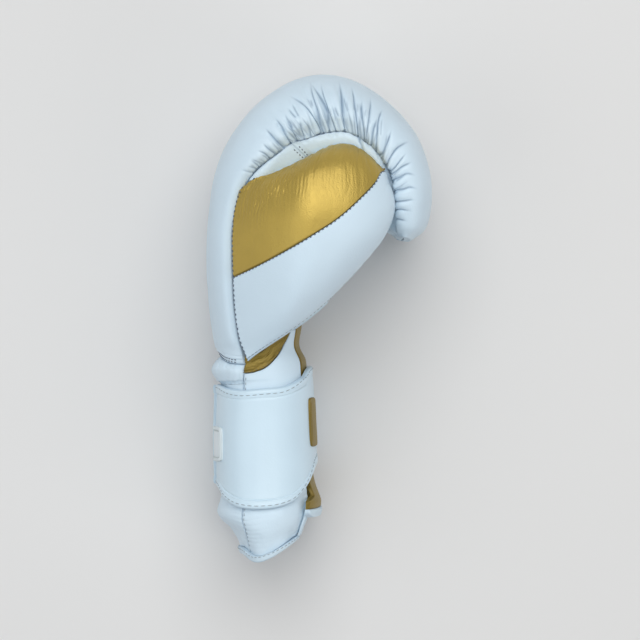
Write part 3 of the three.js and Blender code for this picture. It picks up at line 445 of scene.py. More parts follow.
def thumb_underside(u, v, inset=False):
    setup = thumb_setup(v, inset)
    row = setup[0]
    end = row["right"] * THUMB_TOP
    drop = end - row["under"] * THUMB_TOP - (THUMB_UNDER_WALL if inset else 0.0)
    turn = np.minimum(1, u / CURL_SHARE) * (np.pi / 2)
    curled = 1 - (np.maximum(1, drop) / setup[3]) * (1 - np.cos(turn))
    share = np.where(u < CURL_SHARE, curled, mix(curled, row["web"], (u - CURL_SHARE) / (1 - CURL_SHARE)))
    height = end - FIT_GAP - np.maximum(0.2, drop) * np.sin(turn)
    top = crown_height(row, row["crown"] * THUMB_TOP, 2 * share - 1)
    closed = (1 - smooth((v - 0.012) / 0.05)) * smooth(u / 0.08)
    return thumb_place(setup, share, mix(height, top - (3.0 if inset else 1.2), closed))


# Smooth noise on arrays of points, the same on every run
def hashed(ix, iy, iz, seed):
    n = (ix * 374761393 + iy * 668265263 + iz * 2147483647 + seed * 144665) & 0x7FFFFFFF
    n = ((n ^ (n >> 13)) * 1274126177) & 0x7FFFFFFF
    return ((n ^ (n >> 16)) & 0xFFFF) / 32767.5 - 1.0


def noise(points, scale, seed=0):
    """Value noise from -1 to 1 with features about scale millimetres wide."""
    p = points / scale
    base = np.floor(p).astype(np.int64)
    f = smooth(p - base)
    total = 0.0
    for step in np.ndindex(2, 2, 2):
        weight = np.prod(np.where(step, f, 1 - f), axis=-1)
        total = total + weight * hashed(*np.moveaxis(base + step, -1, 0), seed)
    return total


# Materials
def socket(node, name, value):
    node.inputs[name].default_value = value


def new_material(name):
    mat = bpy.data.materials.new(name)
    mat.use_nodes = True
    return mat, mat.node_tree, mat.node_tree.nodes["Principled BSDF"]


def texture(tree, kind, scale, detail=None):
    """A texture on the object's own coordinates, with its scale in features a metre."""
    node = tree.nodes.new(kind)
    socket(node, "Scale", scale)
    if detail is not None:
        socket(node, "Detail", detail)
    where = tree.nodes.new("ShaderNodeTexCoord")
    tree.links.new(where.outputs["Object"], node.inputs["Vector"])
    return node


def two_tints(tree, factor, low, high, places=(0.0, 1.0)):
    """A ramp from one tint to another."""
    ramp = tree.nodes.new("ShaderNodeValToRGB")
    for element, place, tint in zip(ramp.color_ramp.elements, places, (low, high)):
        element.position = place
        element.color = (*tint, 1)
    tree.links.new(factor, ramp.inputs["Fac"])
    return ramp.outputs["Color"]


def bump(tree, height, strength, distance):
    node = tree.nodes.new("ShaderNodeBump")
    socket(node, "Strength", strength)
    socket(node, "Distance", distance)
    tree.links.new(height, node.inputs["Height"])
    return node


def leather(name, tint, rough, metal=0.0, coat=0.0, grain=1.0, variation=0.05, painted_shade=(0.62, 0.66, 0.72),
            grain_size=1.1, coat_rough=0.25):
    """Grained leather: colour drifts softly, darkens with painted shade into the seams and creases (on the
    gold thumb's top edge partly wear), and has pores and creases.
    """
    mat, tree, shader = new_material(name)
    nodes, links = tree.nodes, tree.links
    socket(shader, "Metallic", metal)
    socket(shader, "Coat Weight", coat)
    socket(shader, "Coat Roughness", coat_rough)
    drift = texture(tree, "ShaderNodeTexNoise", 28.0, 5.0)
    low = [c * (1 - variation) for c in tint]
    high = [min(1.0, c * (1 + variation)) for c in tint]
    colour = two_tints(tree, drift.outputs["Fac"], low, high, (0.3, 0.7))

    # Painted shade: a per-point attribute multiplies the colour by a darker tint in seams, creases and
    # grooves.
    seam = nodes.new("ShaderNodeAttribute")
    seam.attribute_name = "crease"
    shade = nodes.new("ShaderNodeMix")
    shade.data_type = "RGBA"
    shade.blend_type = "MULTIPLY"
    shade.inputs[7].default_value = (*painted_shade, 1)
    links.new(seam.outputs["Fac"], shade.inputs[0])
    links.new(colour, shade.inputs[6])
    links.new(shade.outputs[2], shader.inputs["Base Color"])

    pores = texture(tree, "ShaderNodeTexVoronoi", 1000.0 / grain_size)
    fine = texture(tree, "ShaderNodeTexNoise", 420.0, 4.0)
    soft = texture(tree, "ShaderNodeTexNoise", 95.0, 3.0)
    add = nodes.new("ShaderNodeMath")
    add.operation = "MULTIPLY_ADD"
    add.inputs[1].default_value = 0.8
    links.new(fine.outputs["Fac"], add.inputs[0])
    links.new(pores.outputs["Distance"], add.inputs[2])
    close = bump(tree, add.outputs[0], 0.22 * grain, 0.0003)
    wide = bump(tree, soft.outputs["Fac"], 0.3, 0.0005)
    links.new(close.outputs["Normal"], wide.inputs["Normal"])
    links.new(wide.outputs["Normal"], shader.inputs["Normal"])

    rough_range = nodes.new("ShaderNodeMapRange")
    socket(rough_range, "To Min", rough - 0.06)
    socket(rough_range, "To Max", rough + 0.08)
    links.new(fine.outputs["Fac"], rough_range.inputs["Value"])
    links.new(rough_range.outputs["Result"], shader.inputs["Roughness"])
    return mat


def plain_thread(name, tint):
    mat, tree, shader = new_material(name)
    socket(shader, "Roughness", 0.6)
    twist = texture(tree, "ShaderNodeTexNoise", 900.0)
    low = [c * 0.75 for c in tint]
    high = [min(1, c * 1.2) for c in tint]
    colour = two_tints(tree, twist.outputs["Fac"], low, high)
    tree.links.new(colour, shader.inputs["Base Color"])
    return mat


# The last tint given to each leather is the colour of its painted shade in seams and creases.
WHITE = leather("white_leather", (0.655, 0.8, 0.91), 0.45, coat=0.05, grain=0.9, variation=0.02,
                painted_shade=(0.34, 0.4, 0.48))
INNER = leather("inner_leather", (0.62, 0.75, 0.84), 0.5, grain=0.9, variation=0.03)
GOLD = leather("gold_leather", (0.55, 0.39, 0.078), 0.46, metal=0.62, coat=0.32, grain=2.0, variation=0.09,
               painted_shade=(0.42, 0.38, 0.36), grain_size=0.8, coat_rough=0.42)
# The gold leather made darker with painted shade, for the gusset, palm flap and strap patch
SHADED_GOLD = leather("shaded_gold_leather", (0.27, 0.19, 0.034), 0.5, metal=0.5, coat=0.1, grain=2.0,
                    variation=0.1, painted_shade=(0.42, 0.38, 0.36), grain_size=0.8, coat_rough=0.42)
STRAP_WHITE = leather("strap_leather", (0.64, 0.8, 0.91), 0.36, coat=0.15, grain=0.35, variation=0.02)
BINDING = leather("binding_leather", (0.62, 0.76, 0.86), 0.45, grain=0.6, variation=0.03)
LABEL = leather("label_face", (0.78, 0.86, 0.9), 0.45, grain=0.3, variation=0.02, painted_shade=(0.4, 0.45, 0.42))
THREAD = plain_thread("seam_thread", (0.1, 0.13, 0.19))
PALE_THREAD = plain_thread("strap_thread", (0.36, 0.43, 0.48))
GOLD_THREAD = plain_thread("gold_thread", (0.22, 0.17, 0.07))


# Mesh building
def grid_normals(points):
    du = np.gradient(points, axis=0)
    dv = np.gradient(points, axis=1)
    n = np.cross(du, dv)
    return n / np.maximum(np.linalg.norm(n, axis=-1, keepdims=True), 1e-12)


class Patch:
    """A surface grid with its distances in millimetres from each of its four edges."""

    def __init__(self, surface, us, vs):
        self.u, self.v = np.meshgrid(us, vs, indexing="ij")
        self.points = surface(self.u, self.v)
        self.normals = grid_normals(self.points)
        along_u = np.linalg.norm(np.diff(self.points, axis=0), axis=-1)
        along_v = np.linalg.norm(np.diff(self.points, axis=1), axis=-1)
        self.from_u0 = np.concatenate([np.zeros((1, len(vs))), np.cumsum(along_u, axis=0)], axis=0)
        self.from_v0 = np.concatenate([np.zeros((len(us), 1)), np.cumsum(along_v, axis=1)], axis=1)
        self.from_u1 = self.from_u0[-1:, :] - self.from_u0
        self.from_v1 = self.from_v0[:, -1:] - self.from_v0

    def edge(self, skip=()):
        sides = {"u0": self.from_u0, "u1": self.from_u1, "v0": self.from_v0, "v1": self.from_v1}
        return np.min([side for name, side in sides.items() if name not in skip], axis=0)


def edge_roll(distance, width, depth):
    """How far a turned edge curls down at a distance from the edge."""
    t = 1 - np.clip(distance / width, 0, 1)
    return depth * (1 - np.sqrt(np.maximum(0, 1 - t * t)))


def stitch_rims(first, second):
    """Triangles between two chains of (place, vertex)."""
    triangles = []
    i = j = 0
    while i < len(first) - 1 or j < len(second) - 1:
        take = j == len(second) - 1 or (i < len(first) - 1 and first[i + 1][0] <= second[j + 1][0] + 1e-9)
        if take:
            triangles.append((first[i][1], first[i + 1][1], second[j][1]))
            i += 1
        else:
            triangles.append((first[i][1], second[j + 1][1], second[j][1]))
            j += 1
    return triangles


def grid_loop(index, us, vs):
    lu, lv = len(us) - 1, len(vs) - 1
    loop = [(us[i], index[i][0]) for i in range(lu + 1)]
    loop += [(1 + vs[j], index[lu][j]) for j in range(1, lv + 1)]
    loop += [(3 - us[i], index[i][lv]) for i in range(lu - 1, -1, -1)]
    loop += [(4 - vs[j], index[0][j]) for j in range(lv - 1, -1, -1)]
    return loop


def grid_index(grid, start=0):
    """Numbers of a grid's vertices, counted from a start."""
    return start + np.arange(grid[..., 0].size).reshape(grid.shape[:2])


def grid_faces(index, order):
    """Faces of four corners on a grid of vertex numbers."""
    corners = [index[:-1, :-1], index[1:, :-1], index[1:, 1:], index[:-1, 1:]]
    return np.stack([corners[k] for k in order], axis=-1).reshape(-1, 4).tolist()


def new_object(name, vertices, faces, material, hard_angle=48.0):
    mesh = bpy.data.meshes.new(name)
    mesh.from_pydata([tuple(v) for v in vertices], [], faces)
    mesh.materials.append(material)
    mesh.polygons.foreach_set("use_smooth", [True] * len(mesh.polygons))
    mesh.update()
    mesh.set_sharp_from_angle(angle=math.radians(hard_angle))
    piece = bpy.data.objects.new(name, mesh)
    bpy.context.scene.collection.objects.link(piece)
    return piece


def to_metres(points):
    shifted = points + np.array([CENTRE_SHIFT[0], CENTRE_SHIFT[1], 0.0])
    return shifted / 1000.0


def stops(count, every):
    fine = np.linspace(0, 1, count + 1)
    coarse = [i for i in range(count + 1) if i % every == 0 or i == count]
    return fine, fine[coarse]


def build_wall(name, outside, inside, nu, nv, material, slot, detail=None, roll=(1.4, 0.8), every=6,
               crease=None, u_power=1.0, joined=()):
    """A closed wall with a fine detailed outside, a coarser inside and a rim between them."""
    us, us_in = (values ** u_power for values in stops(nu, every))
    vs, vs_in = stops(nv, every)
    patch = Patch(outside, us, vs)
    inner_grid = inside(*np.meshgrid(us_in, vs_in, indexing="ij"))
    i, j = nu // 2, nv // 2
    middle = inside(patch.u[i:i + 1, j:j + 1], patch.v[i:i + 1, j:j + 1])
    facing = float(np.sum(patch.normals[i, j] * (patch.points[i, j] - middle[0, 0])))
    if facing < 0:
        patch.normals = -patch.normals
    push = -edge_roll(patch.edge(joined), *roll)
    if detail:
        push = push + detail(patch)
    outer_points = patch.points + patch.normals * push[..., None]
    outer_points[..., 2] = np.maximum(outer_points[..., 2], 0.0)
    vertices = np.concatenate([outer_points.reshape(-1, 3), inner_grid.reshape(-1, 3)])
    outer_index = grid_index(outer_points)
    inner_index = grid_index(inner_grid, outer_index.size)
    rim = stitch_rims(grid_loop(inner_index, us_in, vs_in), grid_loop(outer_index, us, vs))
    faces = grid_faces(outer_index, (0, 1, 2, 3)) + grid_faces(inner_index, (0, 3, 2, 1)) + rim
    if facing < 0:
        faces = [tuple(reversed(face)) for face in faces]
    piece = new_object(name, to_metres(vertices), faces, material)
    # Painted shade: the colour darkens close to the wall's seams and edges, and in the piece's own creases
    # and grooves.
    shade = np.exp(-patch.edge(joined) / 0.5) * 0.4
    if crease is not None:
        shade = np.maximum(shade, crease(patch))
    values = np.concatenate([np.clip(shade, 0, 1).reshape(-1), np.zeros(inner_index.size)])
    attribute = piece.data.attributes.new("crease", "FLOAT", "POINT")
    attribute.data.foreach_set("value", values.astype(np.float32))
    return piece


# Rounds after which the row and the angle of a place in a wall agree
SETTLE_ROUNDS = 4


def at(edge, place):
    """An edge at a place on it: the edge is a number or a function."""
    return edge(place) if callable(edge) else edge + 0 * place


def tube_wall(name, rows, angles, nu, nv, material, slot, lift=0.0, inner=cavity, skin=None, **more):
    """A wall of the hand tube between two rows, each by angle, and two angles, each by row."""
    half = math.degrees(SEAM_GAP / 2 / (WRIST_DEPTH / 2))
    half_row = SEAM_GAP / (2 * ROW_SPACING)

    def place(u, v):
        angle = 90.0 + 0 * u
        for _ in range(SETTLE_ROUNDS):
            row = mix(at(rows[0], angle) + half_row, at(rows[1], angle) - half_row, v)
            angle = mix(at(angles[0], row) + half, at(angles[1], row) - half, u)
        return row, angle

    outside = skin or (lambda row, angle: outer(row, angle, lift))
    return build_wall(name, lambda u, v: outside(*place(u, v)), lambda u, v: inner(*place(u, v)),
                      nu, nv, material, slot, **more)


def seam_angle(row):
    return column(HAND["seam"], row - 1)


def keep(piece, *nodes, padded=None):
    if nodes:
        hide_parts(*nodes)
    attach(piece, "root")
    return piece


# Fist
def wrinkles(p, place, wander, size, seed):
    """1 at the bottom of a wrinkle and 0 between: one at each whole number of place, wandering by chance."""
    return 1 - np.abs(np.sin(np.pi * place + wander * noise(p.points, size, seed)))


def puckers(distance, along, pitch, depth, reach, points):
    """Short gathers square to a seam: along is the place on the seam in millimetres."""
    wander = noise(points, 9.0, 3) * 1.3
    wave = 0.5 + 0.5 * np.cos(2 * np.pi * (along / pitch + wander * 0.35))
    strength = 0.6 + 0.4 * noise(points, 13.0, 4)
    return -depth * strength * wave ** 1.6 * np.exp(-distance / reach)


def to_line(points, line):
    """Distance of points from a line of places in space, and the share of the line's length there."""
    best = np.full(len(points), 1e9)
    share = np.zeros(len(points))
    for k in range(len(line) - 1):
        a, ab = line[k], line[k + 1] - line[k]
        t = np.clip((points - a) @ ab / max(1e-9, float(ab @ ab)), 0, 1)
        gap = np.linalg.norm(points - a - t[:, None] * ab, axis=1)
        nearer = gap < best
        best[nearer] = gap[nearer]
        share[nearer] = (k + t[nearer]) / (len(line) - 1)
    return best, share


def crease_line(places, far, shift=0.0):
    """A crease as a line in space, bent through its three places."""
    t = np.linspace(0, 1, 15)
    weights = np.stack([(1 - t) * (1 - 2 * t), 4 * t * (1 - t), t * (2 * t - 1)])
    row = np.array([place[0] for place in places]) @ weights + shift
    past = np.array([place[1] for place in places]) @ weights
    angle = FAR_EDGE - past if far else column(HAND["seam"], row - 1) + past
    return outer(row, angle)


SMALL_CREASES = 190


def short_creases():
    """Small creases between the large ones, placed by chance but the same on every run."""
    chance = np.random.RandomState(11)
    found = []
    for _ in range(SMALL_CREASES):
        row = chance.uniform(15.3, 24.2)
        start = chance.choice([1.0, 2.0, chance.uniform(2, 26) if 16.8 < row < 22 else 1.5])
        reach = chance.uniform(5, 16) * (1.4 if 17 < row < 22 else 0.9)
        lean = chance.uniform(-0.07, 0.12) + 0.16 * smooth((row - 20.3) / 1.2)
        bend = chance.uniform(-0.03, 0.03)
        middle = (row + lean * 0.5 + bend, start + reach * 0.5)
        found.append(((row, start), middle, (row + lean, start + reach), chance.uniform(0.2, 0.5)))
    return found


def crease_depths(patch):
    """Depth of the creases on the pad and how much shade is painted at their bottom."""
    points = patch.points.reshape(-1, 3)
    depth = np.zeros(len(points))
    painted_shade = np.zeros(len(points))
    small = short_creases()
    for far in (False, True):
        for index, (*places, size) in enumerate(CREASES + small):
            line = crease_line(places, far, 0.07 * math.sin(index * 2.4) if far else 0.0)
            low, high = line.min(axis=0) - 6, line.max(axis=0) + 6
            near = np.flatnonzero(np.all((points > low) & (points < high), axis=1))
            gap, share = to_line(points[near], line)
            large = index < len(CREASES)
            fade = 1 - smooth((share - 0.55) / 0.45)
            wide = 2.0 if large else 1.0
            cut = 0.8 * np.exp(-gap / 0.5) + 0.55 * hump(gap, wide)
            lip = 0.16 * hump(gap - 1.9 * wide, 0.8 * wide)
            deep = size * (1.35 if large else 1.1) * fade
            depth[near] = np.maximum(depth[near], deep * cut) - deep * lip * 0.5
            line_shade = np.minimum(1.0, 1.5 * deep) * hump(gap, 0.5)
            painted_shade[near] = np.maximum(painted_shade[near], line_shade)
    return depth.reshape(patch.u.shape), painted_shade.reshape(patch.u.shape)


def pad_detail(p):
    row = mix(PAD_BOTTOM_ROW, LAST_ROW, p.v)
    along = p.from_v0[:1, :] + 0 * p.u
    strong = smooth((row - 15.6) / 1.2) * (1 - smooth((row - 24.2) / 0.8))
    push = 0.4 * noise(p.points, 26.0, 1) + 0.18 * noise(p.points, 9.0, 2)
    push = push + puckers(p.from_u0, along, 3.3, 0.3, 3.2, p.points) * (0.25 + strong)
    push = push + puckers(p.from_u1, along, 3.5, 0.3, 3.2, p.points + 40) * (0.25 + strong)
    p.cut, p.painted_shade = crease_depths(p)
    tip = 1 - smooth((row - 23.6) / 0.8)
    p.cut, p.painted_shade = p.cut * tip, p.painted_shade * tip
    push = push - p.cut
    for line in (2.6, 5.2):
        push = push - 0.35 * hump(p.from_v0 - line, 0.7)
    return push


# Painted shade at the bottoms of the pad's creases
def pad_crease(p):
    return 0.9 * p.painted_shade


pad = tube_wall("pad_shell", (pad_bottom, LAST_ROW), (seam_angle, FAR_EDGE), 112, 810, WHITE,
                "white_leather", detail=pad_detail, roll=(1.1, 0.5), crease=pad_crease, u_power=1.35)
keep(pad, "fist_pad", padded=0.8)


CROSS_SEAM_ROW = 16.75
STRIP_FOLD_ROW = 19.33


def index_detail(p):
    row = mix(THUMB_WEB_ROW, LAST_ROW, p.v)
    along = p.from_v0[-1:, :] + 0 * p.u
    push = 0.25 * noise(p.points, 16.0, 11) + 0.1 * noise(p.points, 5.0, 12)
    push = push - 0.7 * np.exp(-np.abs(row - CROSS_SEAM_ROW) / 0.035)
    push = push - 0.25 * hump(np.abs(row - CROSS_SEAM_ROW) - 0.1, 0.04)
    fold = row - STRIP_FOLD_ROW - 0.012 * p.from_u1
    push = push - 1.5 * np.exp(-np.abs(fold) / 0.06) * np.exp(-p.from_u1 / 9.0)
    push = push + 0.7 * hump(fold - 0.16, 0.09) * np.exp(-p.from_u1 / 9.0)
    return push + puckers(p.from_u1, along, 3.6, 0.3, 3.0, p.points)


# Painted shade along the strip's fold and its cross seam
def index_crease(p):
    row = mix(THUMB_WEB_ROW, LAST_ROW, p.v)
    fold = hump(row - STRIP_FOLD_ROW - 0.012 * p.from_u1, 0.05) * np.exp(-p.from_u1 / 8.0)
    return np.maximum(0.8 * fold, 0.5 * hump(row - CROSS_SEAM_ROW, 0.025))


index_side = tube_wall("index_side", (THUMB_WEB_ROW, LAST_ROW), (PALM_EDGE + PANEL_CLEARANCE, seam_angle),
                       60, 420, WHITE, "white_leather", detail=index_detail, roll=(1.0, 0.4),
                       crease=index_crease)
keep(index_side, "index_side_panel")


def soft_detail(seed, size=18.0, depth=0.3):
    return lambda p: depth * noise(p.points, size, seed) + 0.4 * depth * noise(p.points, size / 3, seed + 1)


palm = tube_wall("palm_lining_side", (PALM_START_ROW, FINGER_FOLD_ROW), (PALM_FAR_EDGE, PALM_EDGE), 100, 110,
                 INNER, "inner_leather",
                 detail=soft_detail(21))
keep(palm, "palm_panel")


def finger_detail(p):
    folds = wrinkles(p, p.v * 9, 1.2, 14.0, 24)
    return 0.25 * noise(p.points, 15.0, 23) - 0.7 * folds ** 2 * (1 - smooth((p.v - 0.75) / 0.2))


fingers = tube_wall("finger_side", (FINGER_FOLD_ROW, LAST_ROW), (PALM_FAR_EDGE, PALM_EDGE), 90, 160,
                    INNER, "inner_leather",
                    detail=finger_detail)
keep(fingers, "finger_panel")


# Thumb, cut by the fist that it lies on
def envelope_object():
    rows = np.concatenate([np.linspace(7.5, 15, 60), np.linspace(15.1, LAST_ROW, 90)])
    around = np.linspace(0, 360, 181)[:-1]
    R, A = np.meshgrid(rows, around, indexing="ij")
    grid = outer(R, A, ENVELOPE_LIFT, False)
    n, m = grid.shape[:2]
    index = grid_index(grid)
    after = np.roll(index, -1, axis=1)
    faces = np.stack([index[:-1], index[1:], after[1:], after[:-1]], axis=-1).reshape(-1, 4).tolist()
    points = grid.reshape(-1, 3)
    caps = np.stack([grid[0].mean(axis=0), grid[-1].mean(axis=0)])
    for j in range(m):
        k = (j + 1) % m
        faces.append((n * m, int(index[0, j]), int(index[0, k])))
        faces.append((n * m + 1, int(index[-1, k]), int(index[-1, j])))
    return new_object("fist_envelope", to_metres(np.concatenate([points, caps])), faces, WHITE)


def cut_by(piece, cutter):
    boolean = piece.modifiers.new("seat", "BOOLEAN")
    boolean.operation = "DIFFERENCE"
    boolean.solver = "MANIFOLD"
    boolean.object = cutter
    bpy.context.view_layer.update()
    evaluated = piece.evaluated_get(bpy.context.evaluated_depsgraph_get())
    mesh = bpy.data.meshes.new_from_object(evaluated)
    piece.modifiers.remove(boolean)
    old = piece.data
    piece.data = mesh
    bpy.data.meshes.remove(old)
    return piece


ENVELOPE = envelope_object()
THUMB_GAP = THUMB_SEAM_GAP / 2 / (GLOVE_LENGTH * THUMB_LENGTH_SHARE)


def seam_row(u):
    return column(THUMB_SEAM, u * (len(THUMB_SEAM) - 1)) / THUMB_LAST


def thumb_wall(name, surface, low, high, nu, nv, material, slot, **more):
    def place(u, v):
        return u, mix(at(low, u) + THUMB_GAP, at(high, u) - THUMB_GAP, v)

    piece = build_wall(name, lambda u, v: surface(*place(u, v)), lambda u, v: surface(*place(u, v), True),
                       nu, nv, material, slot, **more)
    return cut_by(piece, ENVELOPE)


def gold_detail(p):
    left = np.maximum(0, p.from_u0 - THUMB_SKIRT)
    top = np.maximum(0, p.from_v1 - TIP_SKIRT)
    along = p.from_u0[:, -40:-39] + 0 * p.u
    fine = wrinkles(p, along / 2.2, 1.9, 9.0, 31)
    wide = wrinkles(p, along / 8.0, 2.0, 17.0, 32)
    middle = hump(p.u - 0.36, 0.24)
    below = smooth((54 - top + 9 * noise(p.points, 6.0, 37)) / 34) * (0.2 + 0.8 * middle)
    push = -0.55 * fine ** 1.8 * below * (0.75 + 0.5 * noise(p.points, 7.0, 35))
    push = push - 0.6 * wide ** 2 * np.exp(-top / 24.0)
    push = push + puckers(left, p.from_v0, 4.0, 0.5, 6.0, p.points) * np.exp(-left / 9.0)
    roll = top + 0.45 * left - 12.0
    push = push - 0.9 * hump(roll, 1.1) * np.exp(-left / 24.0)
    push = push + 0.7 * hump(roll - 3.0, 2.6) * np.exp(-left / 24.0)
    return push + 0.3 * noise(p.points, 22.0, 33) + 0.1 * noise(p.points, 7.0, 34)


# Darker along the right end of the top edge's fold: partly wear, partly painted shade
def gold_crease(p):
    top = np.maximum(0, p.from_v1 - TIP_SKIRT)
    worn_and_shaded = smooth((p.u - 0.72) / 0.2) * hump(top, 5.0)
    return 0.7 * worn_and_shaded * (0.8 + 0.2 * noise(p.points, 3.0, 36))


def thumb_white_detail(p):
    push = 0.35 * noise(p.points, 30.0, 41) + 0.1 * noise(p.points, 9.0, 42)
    along = p.from_v0[-1:, :] + 0 * p.u
    right = np.exp(-p.from_u1 / 12.0)
    push = push - 0.45 * wrinkles(p, along / 8.0, 1.7, 13.0, 43) ** 2 * right
    fine = wrinkles(p, along / 2.6, 1.5, 7.0, 44)
    patchy = smooth(0.3 + noise(p.points, 15.0, 45))
    push = push - 0.4 * fine ** 1.6 * np.exp(-p.from_u1 / 14.0) * patchy
    left = np.maximum(0, p.from_u0 - THUMB_SKIRT)
    return push + puckers(left, p.from_v0, 4.2, 0.4, 4.0, p.points)


thumb_gold = thumb_wall("thumb_gold", thumb_crown, seam_row, 1, 260, 150, GOLD,
                        "gold_leather", detail=gold_detail, roll=(1.2, 0.7), crease=gold_crease)
keep(thumb_gold, "thumb_gold_panel", padded=0.8)
thumb_white = thumb_wall("thumb_white", thumb_crown, THUMB_HEM, seam_row, 190, 170, WHITE,
                         "white_leather", detail=thumb_white_detail, roll=(1.2, 0.6))
keep(thumb_white, "thumb_white_panel", padded=0.8)
thumb_hem = thumb_wall("thumb_hem_band", thumb_crown, 0, THUMB_HEM, 190, 12, BINDING, "binding",
                       roll=(1.2, 0.8), every=4)
keep(thumb_hem, "thumb_hem")
thumb_inner = thumb_wall("thumb_under", thumb_underside, 0, 1, 120, 150, INNER, "inner_leather",
                         detail=soft_detail(51, 16.0, 0.35), roll=(1.6, 0.8))
keep(thumb_inner, "thumb_inner_panel")


# Wrist and cuff
def roll_detail(p):
    along = p.from_u0
    side = np.minimum(p.from_v0, p.from_v1)
    push = -0.9 * wrinkles(p, along / 11.0, 1.8, 18.0, 61) ** 2 * np.exp(-side / 6.0)
    push = push + puckers(side, along, 3.6, 0.5, 4.0, p.points)
    return push + 0.6 * noise(p.points, 16.0, 62)


wrist_roll = tube_wall("wrist_puff", (ROLL_LOWER_ROW, pad_bottom), (back_seam, FAR_EDGE), 260, 60,
                       WHITE, "white_leather", detail=roll_detail, roll=(1.4, 0.8), joined=("v0",))
keep(wrist_roll, "wrist_roll", padded=0.7)


def cuff_detail(p):
    row = mix(1.45, ROLL_LOWER_ROW, p.v)
    shown = 1 - smooth((row - 4.2) / 0.8)
    dents = -1.0 * smooth(0.5 + 1.2 * noise(p.points, 20.0, 71))
    dents = dents - 0.4 * smooth(0.5 + noise(p.points, 8.0, 72))
    side = np.minimum(p.from_u0, p.from_u1)
    fine = -0.35 * wrinkles(p, p.from_v0 / 3.4, 1.6, 10.0, 73) ** 1.6 * np.exp(-side / 8.0)
    return (dents + fine) * shown - 0.1


cuff_back = tube_wall("cuff_back", (cuff_bottom, ROLL_LOWER_ROW), (back_seam, FAR_EDGE), 150, 120,
                      WHITE, "white_leather", detail=cuff_detail, roll=(1.2, 0.6), joined=("v0", "v1"))
keep(cuff_back, "cuff_back_panel", padded=0.5)


cuff_side = tube_wall("cuff_side", (cuff_bottom, gusset_low), (PALM_EDGE, lambda row: back_seam(row) - 0.3),
                      110, 230, WHITE, "white_leather", detail=cuff_detail, roll=(1.0, 0.5), joined=("v0",))
keep(cuff_side, "cuff_side_panel", padded=0.5)


def gusset_detail(p):
    folds = wrinkles(p, 2.6 * p.v, 0.5 * np.pi, 9.0, 82)
    fine = wrinkles(p, 8.0 * p.v, 0.8 * np.pi, 6.0, 83)
    return -0.8 * folds ** 1.6 - 0.25 * fine ** 1.5 + 0.3 * noise(p.points, 8.0, 81)


gusset = tube_wall("gusset", (lambda angle: gusset_low(angle) + 0.05, gusset_high),
                   (GUSSET_EDGES[0][0] + 1, back_seam), 100, 50, SHADED_GOLD, "gold_leather",
                   detail=gusset_detail, roll=(1.0, 0.6))
keep(gusset, "gold_gusset")


def tab_share(row, angle, from_row):
    near = smooth((angle - PALM_FAR_EDGE - 2) / FAR_FADE)
    return (1 - smooth((row - from_row) / (FLARE_ROW - from_row))) * near


def flap_outside(extra):
    return lambda row, angle: outer(row, angle, FLAP_FLARE * tab_share(row, angle, TAB_FULL) + extra)


def flap_inside(row, angle):
    lift = FLAP_FLARE * tab_share(row, angle, TAB_FULL)
    thin = tab_share(row, angle, FLARE_ROW - TAB_WALL_ROWS)
    return mix(cavity(row, angle), outer(row, angle, lift - FLAP_TAB_WALL), thin[..., None])


def flap_edge(row):
    tab = 1 - smooth((row - TAB_ROW + TAB_CORNER_ROWS) / TAB_CORNER_ROWS)
    corner = np.clip((FLAP_END_ROW - 0.1 - row) / (FLAP_BINDING_ROWS - 0.1), 0, 1)
    rounding = 15 * (1 - np.sqrt(1 - 0.96 * corner ** 2))
    return FLAP_EDGE + FLAP_TAB_WIDTH * tab - rounding


FLAP_ANGLES = (PALM_FAR_EDGE + 1, flap_edge)
flap = tube_wall("palm_flap_body", (FLAP_END_ROW, PALM_START_ROW), FLAP_ANGLES, 90, 200, SHADED_GOLD,
                 "gold_leather", detail=lambda p: -0.3 + 0.25 * noise(p.points, 14.0, 91),
                 roll=(1.2, 0.6), inner=flap_inside, skin=flap_outside(0.0))
keep(flap, "palm_flap")

flap_band = tube_wall("palm_flap_band", (FLAP_END_ROW - FLAP_BINDING_ROWS, FLAP_END_ROW),
                      FLAP_ANGLES, 90, 16, BINDING, "binding", roll=(2.0, 1.6), every=4, inner=flap_inside,
                      skin=flap_outside(TRIM_THICKNESS))
keep(flap_band, "flap_binding")

mouth_band = tube_wall("mouth_band", (mouth_row, cuff_bottom), (PALM_EDGE, FAR_EDGE), 240, 16,
                       BINDING, "binding", lift=TRIM_THICKNESS, roll=(1.4, 0.8), every=4)
keep(mouth_band, "mouth_binding")

edge_band = tube_wall("cuff_edge_band", (cuff_bottom, EDGE_BINDING_TOP),
                      (PALM_EDGE, PALM_EDGE + EDGE_BINDING_WIDTH), 12, 100, BINDING, "binding",
                      lift=FIT_GAP + TRIM_THICKNESS, roll=(1.2, 1.0), every=4,
                      inner=lambda row, angle: outer(row, angle, FIT_GAP))
keep(edge_band, "cuff_edge_binding")


# Strap. The places of label and patch are from angle, to angle, from row, to row.
STRAP_BAND = 5.5
LABEL_PLACE = (187, 140.5, 5.6, 6.25)
PATCH_PLACE = (33.5, 9, 5.84, 6.72)
RIM_WIDTH = 2.4


def strap_detail(p):
    side = np.minimum(p.from_v0, p.from_v1)
    band = smooth((STRAP_BAND - side) / 0.8)
    groove = hump(side - STRAP_BAND, 0.5)
    thread = hump(side - STRAP_BAND + 1.6, 0.6)
    ripple = 0.25 * noise(p.points, 12.0, 101) * np.exp(-side / 7.0)
    return 0.35 * band - 0.35 * groove - 0.2 * thread + ripple + 0.12 * noise(p.points, 30.0, 102)


strap = build_wall("strap_band", lambda u, v: strap_point(u, v, STRAP_FACE),
                   lambda u, v: strap_point(u, v, 0.0), 420, 110, STRAP_WHITE, "strap_leather",
                   detail=strap_detail, roll=(2.4, 1.6))
keep(strap, "wrist_strap", padded=0.9)


